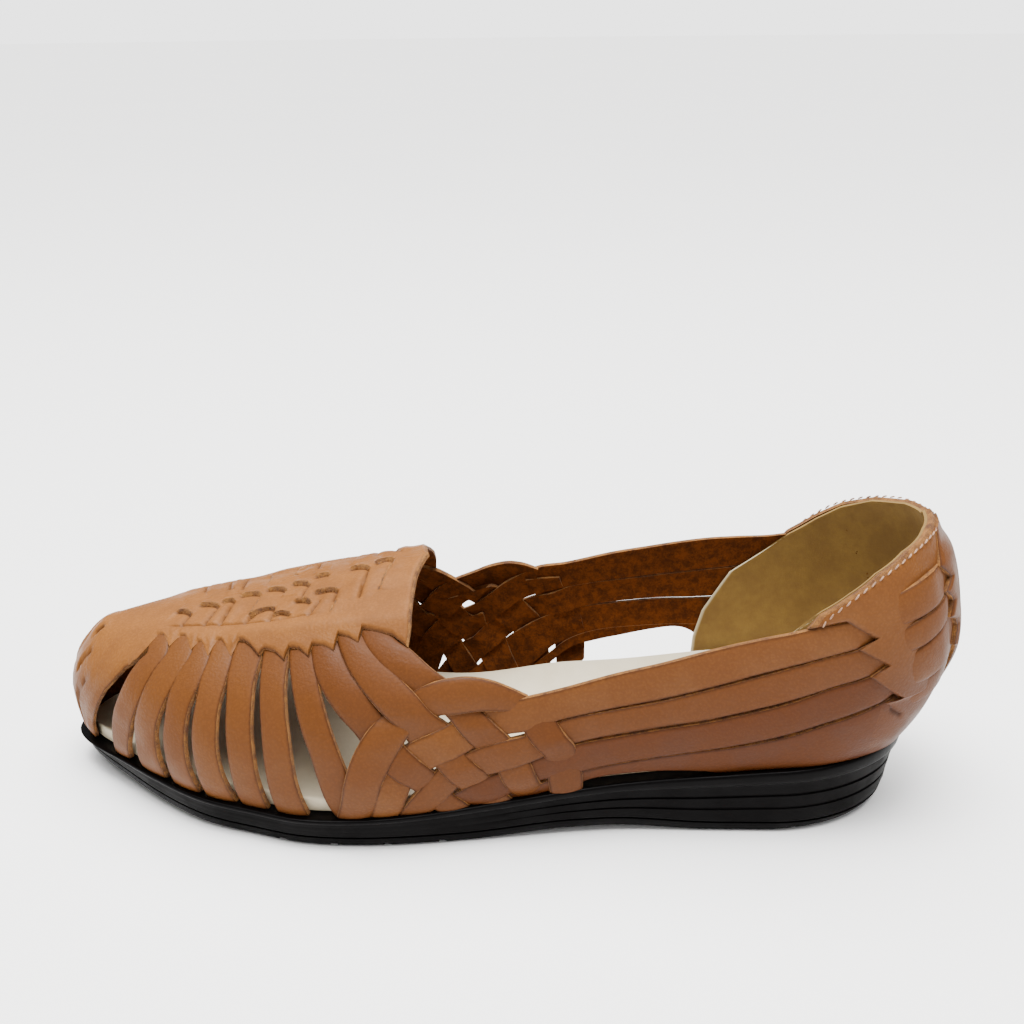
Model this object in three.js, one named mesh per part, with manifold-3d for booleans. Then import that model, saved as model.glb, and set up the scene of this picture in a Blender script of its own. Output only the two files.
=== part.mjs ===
// Left huarache sandal: woven leather upper, footbed, wedge midsole and outsole.
// Millimetres. +X runs from heel to toe, +Y is the outer (little toe) side, +Z is up.
// The origin lies on the floor under the middle of the heel.
import * as THREE from 'three';
import { mergeVertices } from 'three/addons/utils/BufferGeometryUtils.js';
import Module from 'manifold-3d';

const wasm = await Module();
wasm.setup();

// Driving sizes
const shoeLength = 250;
const ballWidth = 90;
const instepHeight = 69;
const collarHeight = 86;
const heelSeat = 22.5;
const leather = 2;
const archLift = 10;

// Sole and footbed
const treadThickness = 3.2;
const treadBevel = 2.4;
const heelBevel = 7;
const toeSpring = 4.8;
const waistRise = 1.5;
const lipGrow = 4.2;
const wallGrow = 3;
const footbedThickness = 4;
const footbedCup = 4.5;
const grooveDepth = 1.2;
const grooveWidth = 2.2;

// Clearances
const seam = 0.3;
const footbedGap = 0.45;
const slitWidth = 1.2;

// Roundings seen from above
const heelRound = 0.132 * shoeLength;
const toeRound = 0.24 * shoeLength;
const toeShift = 0.067 * ballWidth;
const toeShiftStart = 0.6;
const heelCentre = 0.128 * shoeLength;

// Facets
const columns = 76;
const rows = 15;
const cutDepth = 5;
const skirt = 4;

// Sections of the last: stations as shares of shoeLength, half widths as shares of ballWidth,
// seat as a share of heelSeat, wide and ridge as shares of instepHeight
const sections = {
  at: [0, 0.10, 0.22, 0.35, 0.48, 0.57, 0.64, 0.70, 0.76, 0.82, 0.88, 0.94, 1],
  outerWidest: [0.350, 0.355, 0.360, 0.372, 0.415, 0.460, 0.484, 0.486, 0.458, 0.438, 0.395, 0.340, 0.300],
  innerWidest: [0.340, 0.345, 0.345, 0.335, 0.360, 0.400, 0.430, 0.450, 0.450, 0.436, 0.408, 0.370, 0.340],
  outerFoot: [0.296, 0.310, 0.322, 0.338, 0.400, 0.445, 0.466, 0.466, 0.434, 0.412, 0.366, 0.306, 0.265],
  innerFoot: [0.296, 0.310, 0.315, 0.290, 0.320, 0.375, 0.412, 0.432, 0.430, 0.415, 0.385, 0.345, 0.310],
  seat: [1, 0.978, 0.880, 0.747, 0.596, 0.498, 0.458, 0.444, 0.453, 0.480, 0.510, 0.495, 0.440],
  wide: [0.638, 0.609, 0.536, 0.449, 0.362, 0.319, 0.290, 0.275, 0.268, 0.268, 0.275, 0.283, 0.290],
  ridge: [1.710, 1.681, 1.507, 1.304, 1.116, 1, 0.935, 0.870, 0.804, 0.754, 0.710, 0.659, 0.609],
  fullness: [2.2, 2.2, 2.2, 2.2, 2.2, 2.15, 2.1, 2.1, 2.1, 2.2, 2.2, 2.2, 2.3],
};

// How far the heel and toe lines reach (share of shoeLength) at each rise over the seat
// (share of instepHeight)
const heelLine = {
  rise: [0, 0.145, 0.319, 0.435, 0.551, 0.725, 0.957, 1.449],
  reach: [0.019, -0.003, -0.019, -0.0235, -0.0208, -0.0112, 0.0144, 0.068],
};
const toeLine = {
  rise: [0, 0.154, 0.226, 0.313, 0.400, 0.458, 0.501],
  reach: [-0.004, 0.004, 0.0065, 0.001, -0.016, -0.033, -0.064],
};

// Edge of the mouth, seen from the side: share of shoeLength, share of collarHeight
const mouthLine = [
  [-0.048, 1.012], [0.008, 0.992], [0.028, 0.970], [0.055, 0.925], [0.091, 0.874],
  [0.114, 0.817], [0.138, 0.752], [0.222, 0.683], [0.299, 0.615], [0.340, 0.587],
  [0.412, 0.528], [0.448, 0.510], [0.478, 0.551], [0.504, 0.569], [0.532, 0.566],
  [0.550, 0.600], [0.564, 0.627], [0.570, 0.663], [0.571, 0.756], [0.566, 0.814],
  [0.5625, 0.850],
];
const mouthTop = 2;

// Gaps between the side straps: height share of the section, front and rear edge stations
const strapGaps = {
  A_B: [[0.36, 0.8835, 0.8825], [0.28, 0.8930, 0.8885], [0.20, 0.9035, 0.8945], [0.10, 0.9085, 0.8965],
    [0, 0.9090, 0.8975]],
  B_C: [[0.46, 0.8395, 0.8385], [0.35, 0.8535, 0.8480], [0.25, 0.8635, 0.8530], [0.12, 0.8620, 0.8525],
    [0, 0.8600, 0.8495]],
  C_D: [[0.43, 0.8115, 0.8105], [0.35, 0.8195, 0.8135], [0.25, 0.8250, 0.8155], [0.12, 0.8205, 0.8130],
    [0, 0.8150, 0.8070]],
  D_E: [[0.49, 0.7775, 0.7765], [0.38, 0.7840, 0.7765], [0.28, 0.7860, 0.7755], [0.14, 0.7820, 0.7715],
    [0, 0.7710, 0.7640]],
  E_F: [[0.55, 0.7415, 0.7400], [0.42, 0.7440, 0.7370], [0.30, 0.7440, 0.7325], [0.15, 0.7395, 0.7285],
    [0, 0.7315, 0.7220]],
  F_G: [[0.54, 0.7075, 0.7060], [0.44, 0.7065, 0.6985], [0.33, 0.7025, 0.6885], [0.18, 0.6955, 0.6735],
    [0, 0.6855, 0.6520]],
  G_H: [[0.54, 0.6760, 0.6740], [0.46, 0.6670, 0.6620], [0.38, 0.6610, 0.6445], [0.30, 0.6520, 0.6220],
    [0.24, 0.6450, 0.6290], [0.18, 0.6385, 0.6365]],
  H_I: [[0.55, 0.6440, 0.6420], [0.48, 0.6300, 0.6245], [0.42, 0.6145, 0.6065], [0.38, 0.6015, 0.5955]],
};
const outerToeGap = [
  [0.51, 0.8935, 0.8925], [0.44, 0.9120, 0.9080], [0.36, 0.9290, 0.9180], [0.26, 0.9420, 0.9285],
  [0.15, 0.9480, 0.9345], [0, 0.9500, 0.9410],
];
const innerToeGap = [
  [0.54, 0.9050, 0.9040], [0.46, 0.9270, 0.9080], [0.36, 0.9440, 0.9180], [0.26, 0.9580, 0.9285],
  [0.15, 0.9640, 0.9345], [0, 0.9650, 0.9410],
];

// Slits between the long straps: share of shoeLength, share of collarHeight
const longSlits = {
  first: [[0.088, 0.705], [0.199, 0.590], [0.302, 0.501], [0.412, 0.441]],
  second: [[0.070, 0.620], [0.202, 0.469], [0.301, 0.405], [0.395, 0.356]],
  third: [[0.054, 0.517], [0.163, 0.384], [0.242, 0.328]],
};
const innerThirdSlit = [[0.054, 0.517], [0.163, 0.384], [0.242, 0.328], [0.392, 0.292]];

// Opening under the long straps: station and its height in shares of the section
const outerArchGap = [[0.235, 0.002], [0.255, 0.040], [0.320, 0.055], [0.375, 0.045], [0.392, 0.002]];
const innerArchGap = [[0.225, 0.005], [0.250, 0.240], [0.320, 0.240], [0.392, 0.210], [0.420, 0.170],
  [0.432, 0.005]];

// Smooth curve through a table's values at its stations
function along(stations, values, place) {
  const last = stations.length - 1;
  const x = Math.min(Math.max(place, stations[0]), stations[last]);
  let k = 0;
  while (k < last - 1 && x >= stations[k + 1]) k += 1;
  const slope = (i) => {
    const low = Math.max(i - 1, 0);
    const high = Math.min(i + 1, last);
    return (values[high] - values[low]) / (stations[high] - stations[low]);
  };
  const span = stations[k + 1] - stations[k];
  const t = (x - stations[k]) / span;
  const t2 = t * t;
  const t3 = t2 * t;
  return values[k] * (2 * t3 - 3 * t2 + 1) + values[k + 1] * (3 * t2 - 2 * t3)
    + slope(k) * span * (t3 - 2 * t2 + t) + slope(k + 1) * span * (t3 - t2);
}

function smooth(low, high, value) {
  const t = Math.min(Math.max((value - low) / (high - low), 0), 1);
  return t * t * (3 - 2 * t);
}

const seatAt = (x) => along(sections.at, sections.seat, x / shoeLength) * heelSeat;
const centreAt = (x) => -toeShift * smooth(toeShiftStart, 1, x / shoeLength);

// One side's half section at station x: widths, heights and the angle where it meets the seat
function section(side, x) {
  const share = x / shoeLength;
  const pick = (name) => along(sections.at, sections[name], share);
  const widest = pick(side > 0 ? 'outerWidest' : 'innerWidest') * ballWidth;
  const foot = pick(side > 0 ? 'outerFoot' : 'innerFoot') * ballWidth;
  const seat = pick('seat') * heelSeat;
  const wide = pick('wide') * instepHeight;
  const ridge = pick('ridge') * instepHeight;
  const drop = wide - seat;
  const under = drop / Math.sqrt(1 - Math.min(foot / widest, 0.995) ** 2);
  return { widest, seat, wide, under, rise: ridge - wide, power: pick('fullness'),
    start: Math.atan2(drop, foot) };
}

// Half width and height of the section at a share of its sweep, 0 at the seat and 1 at the ridge
function profile(side, x, share) {
  const s = section(side, x);
  const angle = -s.start + share * (Math.PI / 2 + s.start);
  const c = Math.max(Math.cos(angle), 0);
  const v = Math.sin(angle);
  const radius = angle < 0
    ? ((c / s.widest) ** 2 + (v / s.under) ** 2) ** -0.5
    : ((c / s.widest) ** s.power + (v / s.rise) ** s.power) ** (-1 / s.power);
  return { y: share >= 1 ? 0 : radius * c, z: s.wide + radius * v };
}

// Section share at which a side reaches height z
function shareAt(side, x, z) {
  const s = section(side, x);
  const high = z - s.wide;
  const y = high < 0
    ? s.widest * Math.sqrt(Math.max(1 - (high / s.under) ** 2, 0))
    : s.widest * Math.max(1 - (high / s.rise) ** s.power, 0) ** (1 / s.power);
  return (Math.atan2(high, y) + s.start) / (Math.PI / 2 + s.start);
}

// Where the heel and toe end at a share of the sweep
function ends(share) {
  const heelRise = (profile(1, 0, share).z - seatAt(0)) / instepHeight;
  const toeRise = (profile(1, shoeLength, share).z - seatAt(shoeLength)) / instepHeight;
  return [along(heelLine.rise, heelLine.reach, heelRise) * shoeLength,
    shoeLength + along(toeLine.rise, toeLine.reach, toeRise) * shoeLength];
}

const roundEnd = (depth, radius) => Math.sqrt(1 - Math.min(Math.max(1 - depth / radius, 0), 1) ** 2);

// Point of the last: turn runs -1..1 round the plan, 0 at the heel, positive on the outer side
function lastPoint(turn, share) {
  const [back, front] = ends(share);
  const x = back + (front - back) * (1 - Math.cos(Math.PI * turn)) / 2;
  const side = turn < 0 ? -1 : 1;
  const p = profile(side, x, share);
  const taper = roundEnd(x - back, heelRound) * roundEnd(front - x, toeRound);
  return new THREE.Vector3(x, centreAt(x) + side * p.y * taper, p.z);
}

function turnAt(side, x, share) {
  const [back, front] = ends(share);
  const ratio = Math.min(Math.max((x - back) / (front - back), 0), 1);
  return side * Math.acos(1 - 2 * ratio) / Math.PI;
}

// Outward direction of the last, taken just inside its seams
function outward(turn, share) {
  const step = 0.004;
  const near = Math.min(Math.max(Math.abs(turn), 0.006), 0.985) * (turn < 0 ? -1 : 1);
  const level = Math.min(Math.max(share, step), 0.97);
  const one = (t) => {
    const du = lastPoint(t + step, level).sub(lastPoint(t - step, level));
    const dv = lastPoint(t, level + step).sub(lastPoint(t, level - step));
    return dv.cross(du).normalize();
  };
  const n = one(near);
  const onSeam = share > 0.9999 || Math.abs(turn) > 0.9999 || Math.abs(turn) < 0.0001;
  if (onSeam) n.add(one(-near)).normalize();
  return n;
}

function offsetPoint(turn, share, offset) {
  return lastPoint(turn, share).addScaledVector(outward(turn, share), offset);
}

// Closed solid through rings of equal length; caps join the ring to itself across
function loftSolid(rings, capPairs) {
  const count = rings[0].length;
  const points = rings.flat();
  const index = [];
  for (let r = 0; r < rings.length - 1; r += 1) {
    for (let i = 0; i < count; i += 1) {
      const j = (i + 1) % count;
      const low = r * count;
      const high = low + count;
      index.push(low + i, low + j, high + j, low + i, high + j, high + i);
    }
  }
  const top = (rings.length - 1) * count;
  capPairs.forEach(([a, b, c]) => index.push(c, b, a, top + a, top + b, top + c));
  return solidFrom(points, index);
}

function solidFrom(points, index) {
  const geometry = new THREE.BufferGeometry();
  geometry.setAttribute('position', new THREE.Float32BufferAttribute(points.flatMap((p) => [p.x, p.y, p.z]), 3));
  geometry.setIndex(index);
  const merged = mergeVertices(geometry, 1e-4);
  const position = merged.getAttribute('position').array;
  const kept = [];
  const source = merged.getIndex().array;
  for (let k = 0; k < source.length; k += 3) {
    const [a, b, c] = [source[k], source[k + 1], source[k + 2]];
    if (a !== b && b !== c && c !== a) kept.push(a, b, c);
  }
  let volume = 0;
  const corner = (i) => new THREE.Vector3().fromArray(position, i * 3);
  for (let k = 0; k < kept.length; k += 3) {
    volume += corner(kept[k]).dot(corner(kept[k + 1]).cross(corner(kept[k + 2])));
  }
  const triVerts = new Uint32Array(kept);
  if (volume < 0) triVerts.reverse();
  return new wasm.Manifold(new wasm.Mesh({ numProp: 3, vertProperties: new Float32Array(position), triVerts }));
}

// Cap of a ring that runs round the plan, in strips from one side to the other
function crossCap(count) {
  const caps = [];
  for (let i = 0; i < count / 2; i += 1) {
    const a = i;
    const b = i + 1;
    const c = (count - i - 1) % count;
    const d = (count - i) % count;
    caps.push([a, b, c], [a, c, d]);
  }
  return caps;
}

const boxCap = [[0, 1, 2], [0, 2, 3]];
const turns = Array.from({ length: columns }, (_, i) => (i / columns) * 2);
const wrapTurn = (t) => (t > 1 ? t - 2 : t);

// The last grown by an offset; its open side stands on the seat or reaches below it
function lastSolid(offset, below) {
  const rings = [];
  const foot = turns.map((t) => {
    const turn = wrapTurn(t);
    const p = lastPoint(turn, 0);
    const n = outward(turn, 0).setZ(0).normalize();
    return p.addScaledVector(n, offset);
  });
  if (below > 0) rings.push(foot.map((p) => new THREE.Vector3(p.x, p.y, p.z - below)));
  rings.push(foot);
  for (let r = 1; r <= rows; r += 1) {
    const share = r / rows;
    rings.push(turns.map((t) => {
      const p = offsetPoint(wrapTurn(t), share, offset);
      const floor = seatAt(p.x);
      if (p.z < floor) p.z = floor;
      if (share >= 1) p.y = centreAt(p.x);
      return p;
    }));
  }
  const count = turns.length;
  const points = rings.flat();
  const index = [];
  for (let r = 0; r < rings.length - 1; r += 1) {
    for (let i = 0; i < count; i += 1) {
      const j = (i + 1) % count;
      const low = r * count;
      const high = low + count;
      index.push(low + i, low + j, high + j, low + i, high + j, high + i);
    }
  }
  crossCap(count).forEach(([a, b, c]) => index.push(c, b, a));
  return solidFrom(points, index);
}

// Cutter for a gap whose front and rear edges are given at section heights
function gapCutter(side, table) {
  const ring = ([share, front, rear]) => {
    const corner = (station, offset) => offsetPoint(turnAt(side, station * shoeLength, share), share, offset);
    return [corner(front, -cutDepth), corner(rear, -cutDepth), corner(rear, cutDepth), corner(front, cutDepth)];
  };
  const rings = table.map(ring);
  const lowest = rings[rings.length - 1];
  if (table[table.length - 1][0] === 0) rings.push(lowest.map((p) => new THREE.Vector3(p.x, p.y, p.z - skirt)));
  return loftSolid(rings, boxCap);
}

// Cutter for a slit that runs along the side
function slitCutter(side, table) {
  const ring = ([station, height], k) => {
    const x = station * shoeLength;
    const z = height * collarHeight + (side < 0 ? liftAt(x) : 0);
    const half = (k === 0 || k === table.length - 1 ? 0.35 : 0.5) * slitWidth;
    const corner = (level, offset) => {
      const share = shareAt(side, x, level);
      return offsetPoint(turnAt(side, x, share), share, offset);
    };
    return [corner(z - half, -cutDepth), corner(z + half, -cutDepth), corner(z + half, cutDepth),
      corner(z - half, cutDepth)];
  };
  return loftSolid(table.map(ring), boxCap);
}

// Cutter for an opening that stands on the seat
function archCutter(side, table) {
  const ring = ([station, share]) => {
    const x = station * shoeLength;
    const at = (level, offset) => offsetPoint(turnAt(side, x, level), level, offset);
    const lower = (p) => new THREE.Vector3(p.x, p.y, p.z - skirt);
    return [lower(at(0, -cutDepth)), at(share, -cutDepth), at(share, cutDepth), lower(at(0, cutDepth))];
  };
  return loftSolid(table.map(ring), boxCap);
}

// The inner side of the mouth and its long straps stand higher over the arch
const liftAt = (x) => archLift * smooth(0.06, 0.36, x / shoeLength) * (1 - smooth(0.44, 0.55, x / shoeLength));

function mouthCutter(side) {
  const outline = mouthLine.map(([station, height]) => {
    const x = station * shoeLength;
    return new THREE.Vector2(x, height * collarHeight + (side < 0 ? liftAt(x) : 0));
  });
  const front = outline[outline.length - 1].x;
  outline.push(new THREE.Vector2(front, mouthTop * collarHeight));
  outline.push(new THREE.Vector2(outline[0].x, mouthTop * collarHeight));
  const depth = ballWidth;
  const geometry = new THREE.ExtrudeGeometry(new THREE.Shape(outline), { depth, bevelEnabled: false });
  geometry.rotateX(Math.PI / 2);
  if (side > 0) geometry.translate(0, depth, 0);
  return solidOf(geometry);
}

function solidOf(geometry) {
  const bare = geometry.index ? geometry.toNonIndexed() : geometry;
  const position = bare.getAttribute('position');
  const points = [];
  for (let k = 0; k < position.count; k += 1) points.push(new THREE.Vector3().fromBufferAttribute(position, k));
  return solidFrom(points, points.map((_, k) => k));
}

function makeUpper() {
  let upper = lastSolid(leather, 0).subtract(lastSolid(0, skirt));
  [1, -1].forEach((side) => {
    const cutters = [mouthCutter(side)];
    Object.values(strapGaps).forEach((table) => cutters.push(gapCutter(side, table)));
    cutters.push(gapCutter(side, side > 0 ? outerToeGap : innerToeGap));
    cutters.push(slitCutter(side, longSlits.first), slitCutter(side, longSlits.second));
    cutters.push(slitCutter(side, side > 0 ? longSlits.third : innerThirdSlit));
    cutters.push(archCutter(side, side > 0 ? outerArchGap : innerArchGap));
    cutters.forEach((cutter) => {
      upper = upper.subtract(cutter);
    });
  });
  return upper;
}

// Plan outline of the seat grown outwards; back moves the heel end forwards
function outline(turn, grow, back) {
  const [heel, toe] = ends(0);
  const start = heel - grow + back;
  const stop = toe + grow;
  const x = start + (stop - start) * (1 - Math.cos(Math.PI * turn)) / 2;
  const side = turn < 0 ? -1 : 1;
  const foot = along(sections.at, sections[side > 0 ? 'outerFoot' : 'innerFoot'], x / shoeLength) * ballWidth;
  const taper = roundEnd(x - start, heelRound + grow) * roundEnd(stop - x, toeRound + grow);
  return new THREE.Vector2(x, centreAt(x) + side * (foot + grow) * taper);
}

// Height of the tread's underside: flat at heel and ball, raised in the waist and at the toe
function springAt(x) {
  const share = x / shoeLength;
  const waist = smooth(0.24, 0.36, share) * (1 - smooth(0.40, 0.52, share));
  return toeSpring * smooth(0.74, 1.04, share) + waistRise * waist;
}

const treadTop = (x) => springAt(x) + treadThickness;

// Ring of the sole: grow and back shape the plan, level gives the height at each station
function soleRing(grow, back, level) {
  return turns.map((t) => {
    const p = outline(wrapTurn(t), grow, back);
    return new THREE.Vector3(p.x, p.y, level(p.x));
  });
}

function makeOutsole() {
  const rings = [
    soleRing(wallGrow - treadBevel, heelBevel * 1.2, springAt),
    soleRing(wallGrow - 1.2, heelBevel * 0.95, (x) => springAt(x) + 1.3),
    soleRing(wallGrow - 0.6, heelBevel * 0.80, treadTop),
  ];
  let tread = loftSolid(rings, crossCap(columns));
  const cuts = [0.54, 0.60, 0.66, 0.72, 0.09, 0.15];
  cuts.forEach((share) => {
    const x = share * shoeLength;
    const bar = new THREE.BoxGeometry(grooveWidth, ballWidth * 1.4, grooveDepth * 2);
    bar.translate(x, 0, springAt(x));
    tread = tread.subtract(solidOf(bar));
  });
  return tread;
}

function makeMidsole() {
  const top = (x) => seatAt(x) - seam;
  const bottom = (x) => treadTop(x) + seam;
  const level = (share) => (x) => bottom(x) + (top(x) - bottom(x)) * share;
  const rings = [
    soleRing(wallGrow - 0.6, heelBevel * 0.80, level(0)),
    soleRing(wallGrow, heelBevel * 0.60, level(0.4)),
    soleRing(wallGrow + 0.3, heelBevel * 0.48, level(0.74)),
    soleRing(lipGrow, heelBevel * 0.48, level(0.80)),
    soleRing(lipGrow, heelBevel * 0.44, level(1)),
  ];
  return loftSolid(rings, crossCap(columns));
}

function makeFootbed() {
  const cupAt = (x) => footbedCup * (1 - smooth(0.40, 0.56, x / shoeLength));
  const surface = (edge) => (x) => seatAt(x) + footbedThickness + cupAt(x) * edge * edge;
  const rings = [
    soleRing(-footbedGap, 0, seatAt),
    soleRing(-footbedGap, 0, surface(1)),
    soleRing(-footbedGap - 6, 0, surface(0.75)),
    soleRing(-footbedGap - 14, 0, surface(0.3)),
  ];
  return loftSolid(rings, crossCap(columns));
}

function toMesh(solid, name, look) {
  const mesh = solid.getMesh();
  const geometry = new THREE.BufferGeometry();
  geometry.setAttribute('position', new THREE.BufferAttribute(new Float32Array(mesh.vertProperties), 3));
  geometry.setIndex(Array.from(mesh.triVerts));
  geometry.translate(-heelCentre, 0, 0);
  const node = new THREE.Mesh(geometry, new THREE.MeshStandardMaterial(look));
  node.name = name;
  return node;
}

const sandal = new THREE.Group();
sandal.add(toMesh(makeUpper(), 'upper', { color: 0xa9723f, roughness: 0.5, metalness: 0 }));
sandal.add(toMesh(makeFootbed(), 'insole', { color: 0xe0d5bc, roughness: 0.7, metalness: 0 }));
sandal.add(toMesh(makeMidsole(), 'midsole', { color: 0x2b2626, roughness: 0.45, metalness: 0 }));
sandal.add(toMesh(makeOutsole(), 'outsole', { color: 0x262222, roughness: 0.6, metalness: 0 }));

export default sandal;
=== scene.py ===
import math

import bmesh
import bpy
import mathutils
import numpy as np
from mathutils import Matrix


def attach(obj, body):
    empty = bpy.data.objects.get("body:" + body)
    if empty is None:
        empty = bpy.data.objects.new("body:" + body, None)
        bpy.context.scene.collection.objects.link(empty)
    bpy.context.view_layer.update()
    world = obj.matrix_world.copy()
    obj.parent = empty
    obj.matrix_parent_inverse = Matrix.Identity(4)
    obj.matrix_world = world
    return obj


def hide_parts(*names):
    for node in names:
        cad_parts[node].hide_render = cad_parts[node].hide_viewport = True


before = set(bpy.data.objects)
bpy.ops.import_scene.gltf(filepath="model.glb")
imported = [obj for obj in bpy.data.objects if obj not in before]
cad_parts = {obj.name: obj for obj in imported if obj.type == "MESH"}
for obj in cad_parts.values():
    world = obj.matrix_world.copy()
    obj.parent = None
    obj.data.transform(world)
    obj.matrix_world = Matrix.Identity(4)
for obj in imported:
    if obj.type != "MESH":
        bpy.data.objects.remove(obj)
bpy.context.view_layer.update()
print("frame loaded")

# the last: lengths in mm, +X heel to toe, +Y outer side, x = 0 at the back of the seat

last = {
    "length": 250.0,
    "ball": 90.0,
    "instep": 69.0,
    "seat": 22.5,
    "heelRound": 33.0,
    "toeRound": 60.0,
    "toeShift": 6.03,
    "archLift": 10.0,
    "heelCentre": 32.0,
}

# stations as shares of length; half widths of ball; seat of seat; wide and ridge of instep
sections = {
    "at": [0, 0.10, 0.22, 0.35, 0.48, 0.57, 0.64, 0.70, 0.76, 0.82, 0.88, 0.94, 1],
    "outerWidest": [0.350, 0.355, 0.360, 0.372, 0.415, 0.460, 0.484, 0.486, 0.458, 0.438, 0.395, 0.340, 0.300],
    "innerWidest": [0.340, 0.345, 0.345, 0.335, 0.360, 0.400, 0.430, 0.450, 0.450, 0.436, 0.408, 0.370, 0.340],
    "outerFoot": [0.296, 0.310, 0.322, 0.338, 0.400, 0.445, 0.466, 0.466, 0.434, 0.412, 0.366, 0.306, 0.265],
    "innerFoot": [0.296, 0.310, 0.315, 0.290, 0.320, 0.375, 0.412, 0.432, 0.430, 0.415, 0.385, 0.345, 0.310],
    "seat": [1, 0.978, 0.880, 0.747, 0.596, 0.498, 0.458, 0.444, 0.453, 0.480, 0.510, 0.495, 0.440],
    "wide": [0.638, 0.609, 0.536, 0.449, 0.362, 0.319, 0.290, 0.275, 0.268, 0.268, 0.275, 0.283, 0.290],
    "ridge": [1.710, 1.681, 1.507, 1.304, 1.116, 1, 0.935, 0.870, 0.804, 0.754, 0.710, 0.659, 0.609],
    "fullness": [2.2, 2.2, 2.2, 2.2, 2.2, 2.15, 2.1, 2.1, 2.1, 2.2, 2.2, 2.2, 2.3],
}
heelLine = {
    "rise": [0, 0.145, 0.319, 0.435, 0.551, 0.725, 0.957, 1.449],
    "reach": [0.019, -0.003, -0.019, -0.0235, -0.0208, -0.0112, 0.0144, 0.068],
}
toeLine = {
    "rise": [0, 0.154, 0.226, 0.313, 0.400, 0.458, 0.501],
    "reach": [-0.004, 0.004, 0.0065, 0.001, -0.016, -0.033, -0.064],
}


# cubic through a table's points, each slope taken from the neighbours on both sides
def along(stations, values, place):
    s, v = np.asarray(stations, float), np.asarray(values, float)
    x = np.clip(place, s[0], s[-1])
    k = np.clip(np.searchsorted(s, x, side="right") - 1, 0, len(s) - 2)
    low = np.maximum(np.arange(len(s)) - 1, 0)
    high = np.minimum(np.arange(len(s)) + 1, len(s) - 1)
    slope = (v[high] - v[low]) / (s[high] - s[low])
    span = s[k + 1] - s[k]
    t = (x - s[k]) / span
    return (
        v[k] * (2 * t**3 - 3 * t**2 + 1)
        + v[k + 1] * (3 * t**2 - 2 * t**3)
        + slope[k] * span * (t**3 - 2 * t**2 + t)
        + slope[k + 1] * span * (t**3 - t**2)
    )


# 0 below low, 1 above high, and an S-shaped cubic between them
def smooth(low, high, value):
    t = np.clip((value - low) / (high - low), 0, 1)
    return t * t * (3 - 2 * t)


# the same from 1 down to 0
def fade(low, high, value):
    return 1 - smooth(low, high, value)


# 1 at the centre, falling to 1/e at a width from it
def bell(value, centre, width):
    return np.exp(-(((value - centre) / width) ** 2))


# running length along a line of points
def lengthAlong(line):
    return np.concatenate([[0], np.cumsum(np.linalg.norm(np.diff(line, axis=0), axis=1))])


# distance of a grid's points from the nearer of its two side edges, measured across in each row
def toSides(flat):
    return np.minimum(np.linalg.norm(flat - flat[:, -1:], axis=2), np.linalg.norm(flat - flat[:, :1], axis=2))


# a station table's value at x, the seat's height, and the centre line, which bends inwards at the toe
def table(name, x):
    return along(sections["at"], sections[name], np.asarray(x) / last["length"])


def seatAt(x):
    return table("seat", x) * last["seat"]


def centreAt(x):
    return -last["toeShift"] * smooth(0.6, 1.0, np.asarray(x) / last["length"])


# half section: an ellipse quarter from the seat to the widest point, then a fuller arch to the ridge
def section(side, x):
    widest = np.where(side > 0, table("outerWidest", x), table("innerWidest", x)) * last["ball"]
    foot = np.where(side > 0, table("outerFoot", x), table("innerFoot", x)) * last["ball"]
    wide = table("wide", x) * last["instep"]
    rise = table("ridge", x) * last["instep"] - wide
    drop = wide - seatAt(x)
    under = drop / np.sqrt(1 - np.minimum(foot / widest, 0.995) ** 2)
    return widest, wide, under, rise, table("fullness", x), np.arctan2(drop, foot)


# radius of the half section at a share of its sweep, 0 at the seat and 1 at the ridge
def profile(side, x, share):
    widest, wide, under, rise, power, start = section(side, x)
    angle = -start + share * (np.pi / 2 + start)
    c = np.maximum(np.cos(angle), 1e-9)
    v = np.sin(angle)
    low = ((c / widest) ** 2 + (v / under) ** 2) ** -0.5
    high = ((c / widest) ** power + (np.maximum(v, 0) / rise) ** power) ** (-1 / power)
    radius = np.where(angle < 0, low, high)
    return radius * c, wide + radius * v


# the reverse: share of the sweep at which a side reaches height z
def shareAt(side, x, z):
    widest, wide, under, rise, power, start = section(side, x)
    high = z - wide
    below = widest * np.sqrt(np.maximum(1 - (high / under) ** 2, 0))
    above = widest * np.maximum(1 - (np.maximum(high, 0) / rise) ** power, 0) ** (1 / power)
    return (np.arctan2(high, np.where(high < 0, below, above)) + start) / (np.pi / 2 + start)


# heel and toe stations at a share of the sweep
def ends(share):
    one = np.ones_like(share)
    heelRise = (profile(one, 0 * one, share)[1] - seatAt(0.0)) / last["instep"]
    toeRise = (profile(one, last["length"] * one, share)[1] - seatAt(last["length"])) / last["instep"]
    heel = along(heelLine["rise"], heelLine["reach"], heelRise) * last["length"]
    toe = last["length"] * (1 + along(toeLine["rise"], toeLine["reach"], toeRise))
    return heel, toe


# quarter circle: 0 at the very end, 1 from a radius on
def roundEnd(depth, radius):
    return np.sqrt(1 - np.clip(1 - depth / radius, 0, 1) ** 2)


# a share over 1 goes on down the other side, a turn over 1 goes on past the toe
def unfold(turn, share):
    over = share > 1
    turn = np.where(over, -turn, turn)
    share = np.where(over, 2 - share, share)
    turn = np.where(turn > 1, turn - 2, np.where(turn < -1, turn + 2, turn))
    return turn, share


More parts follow.
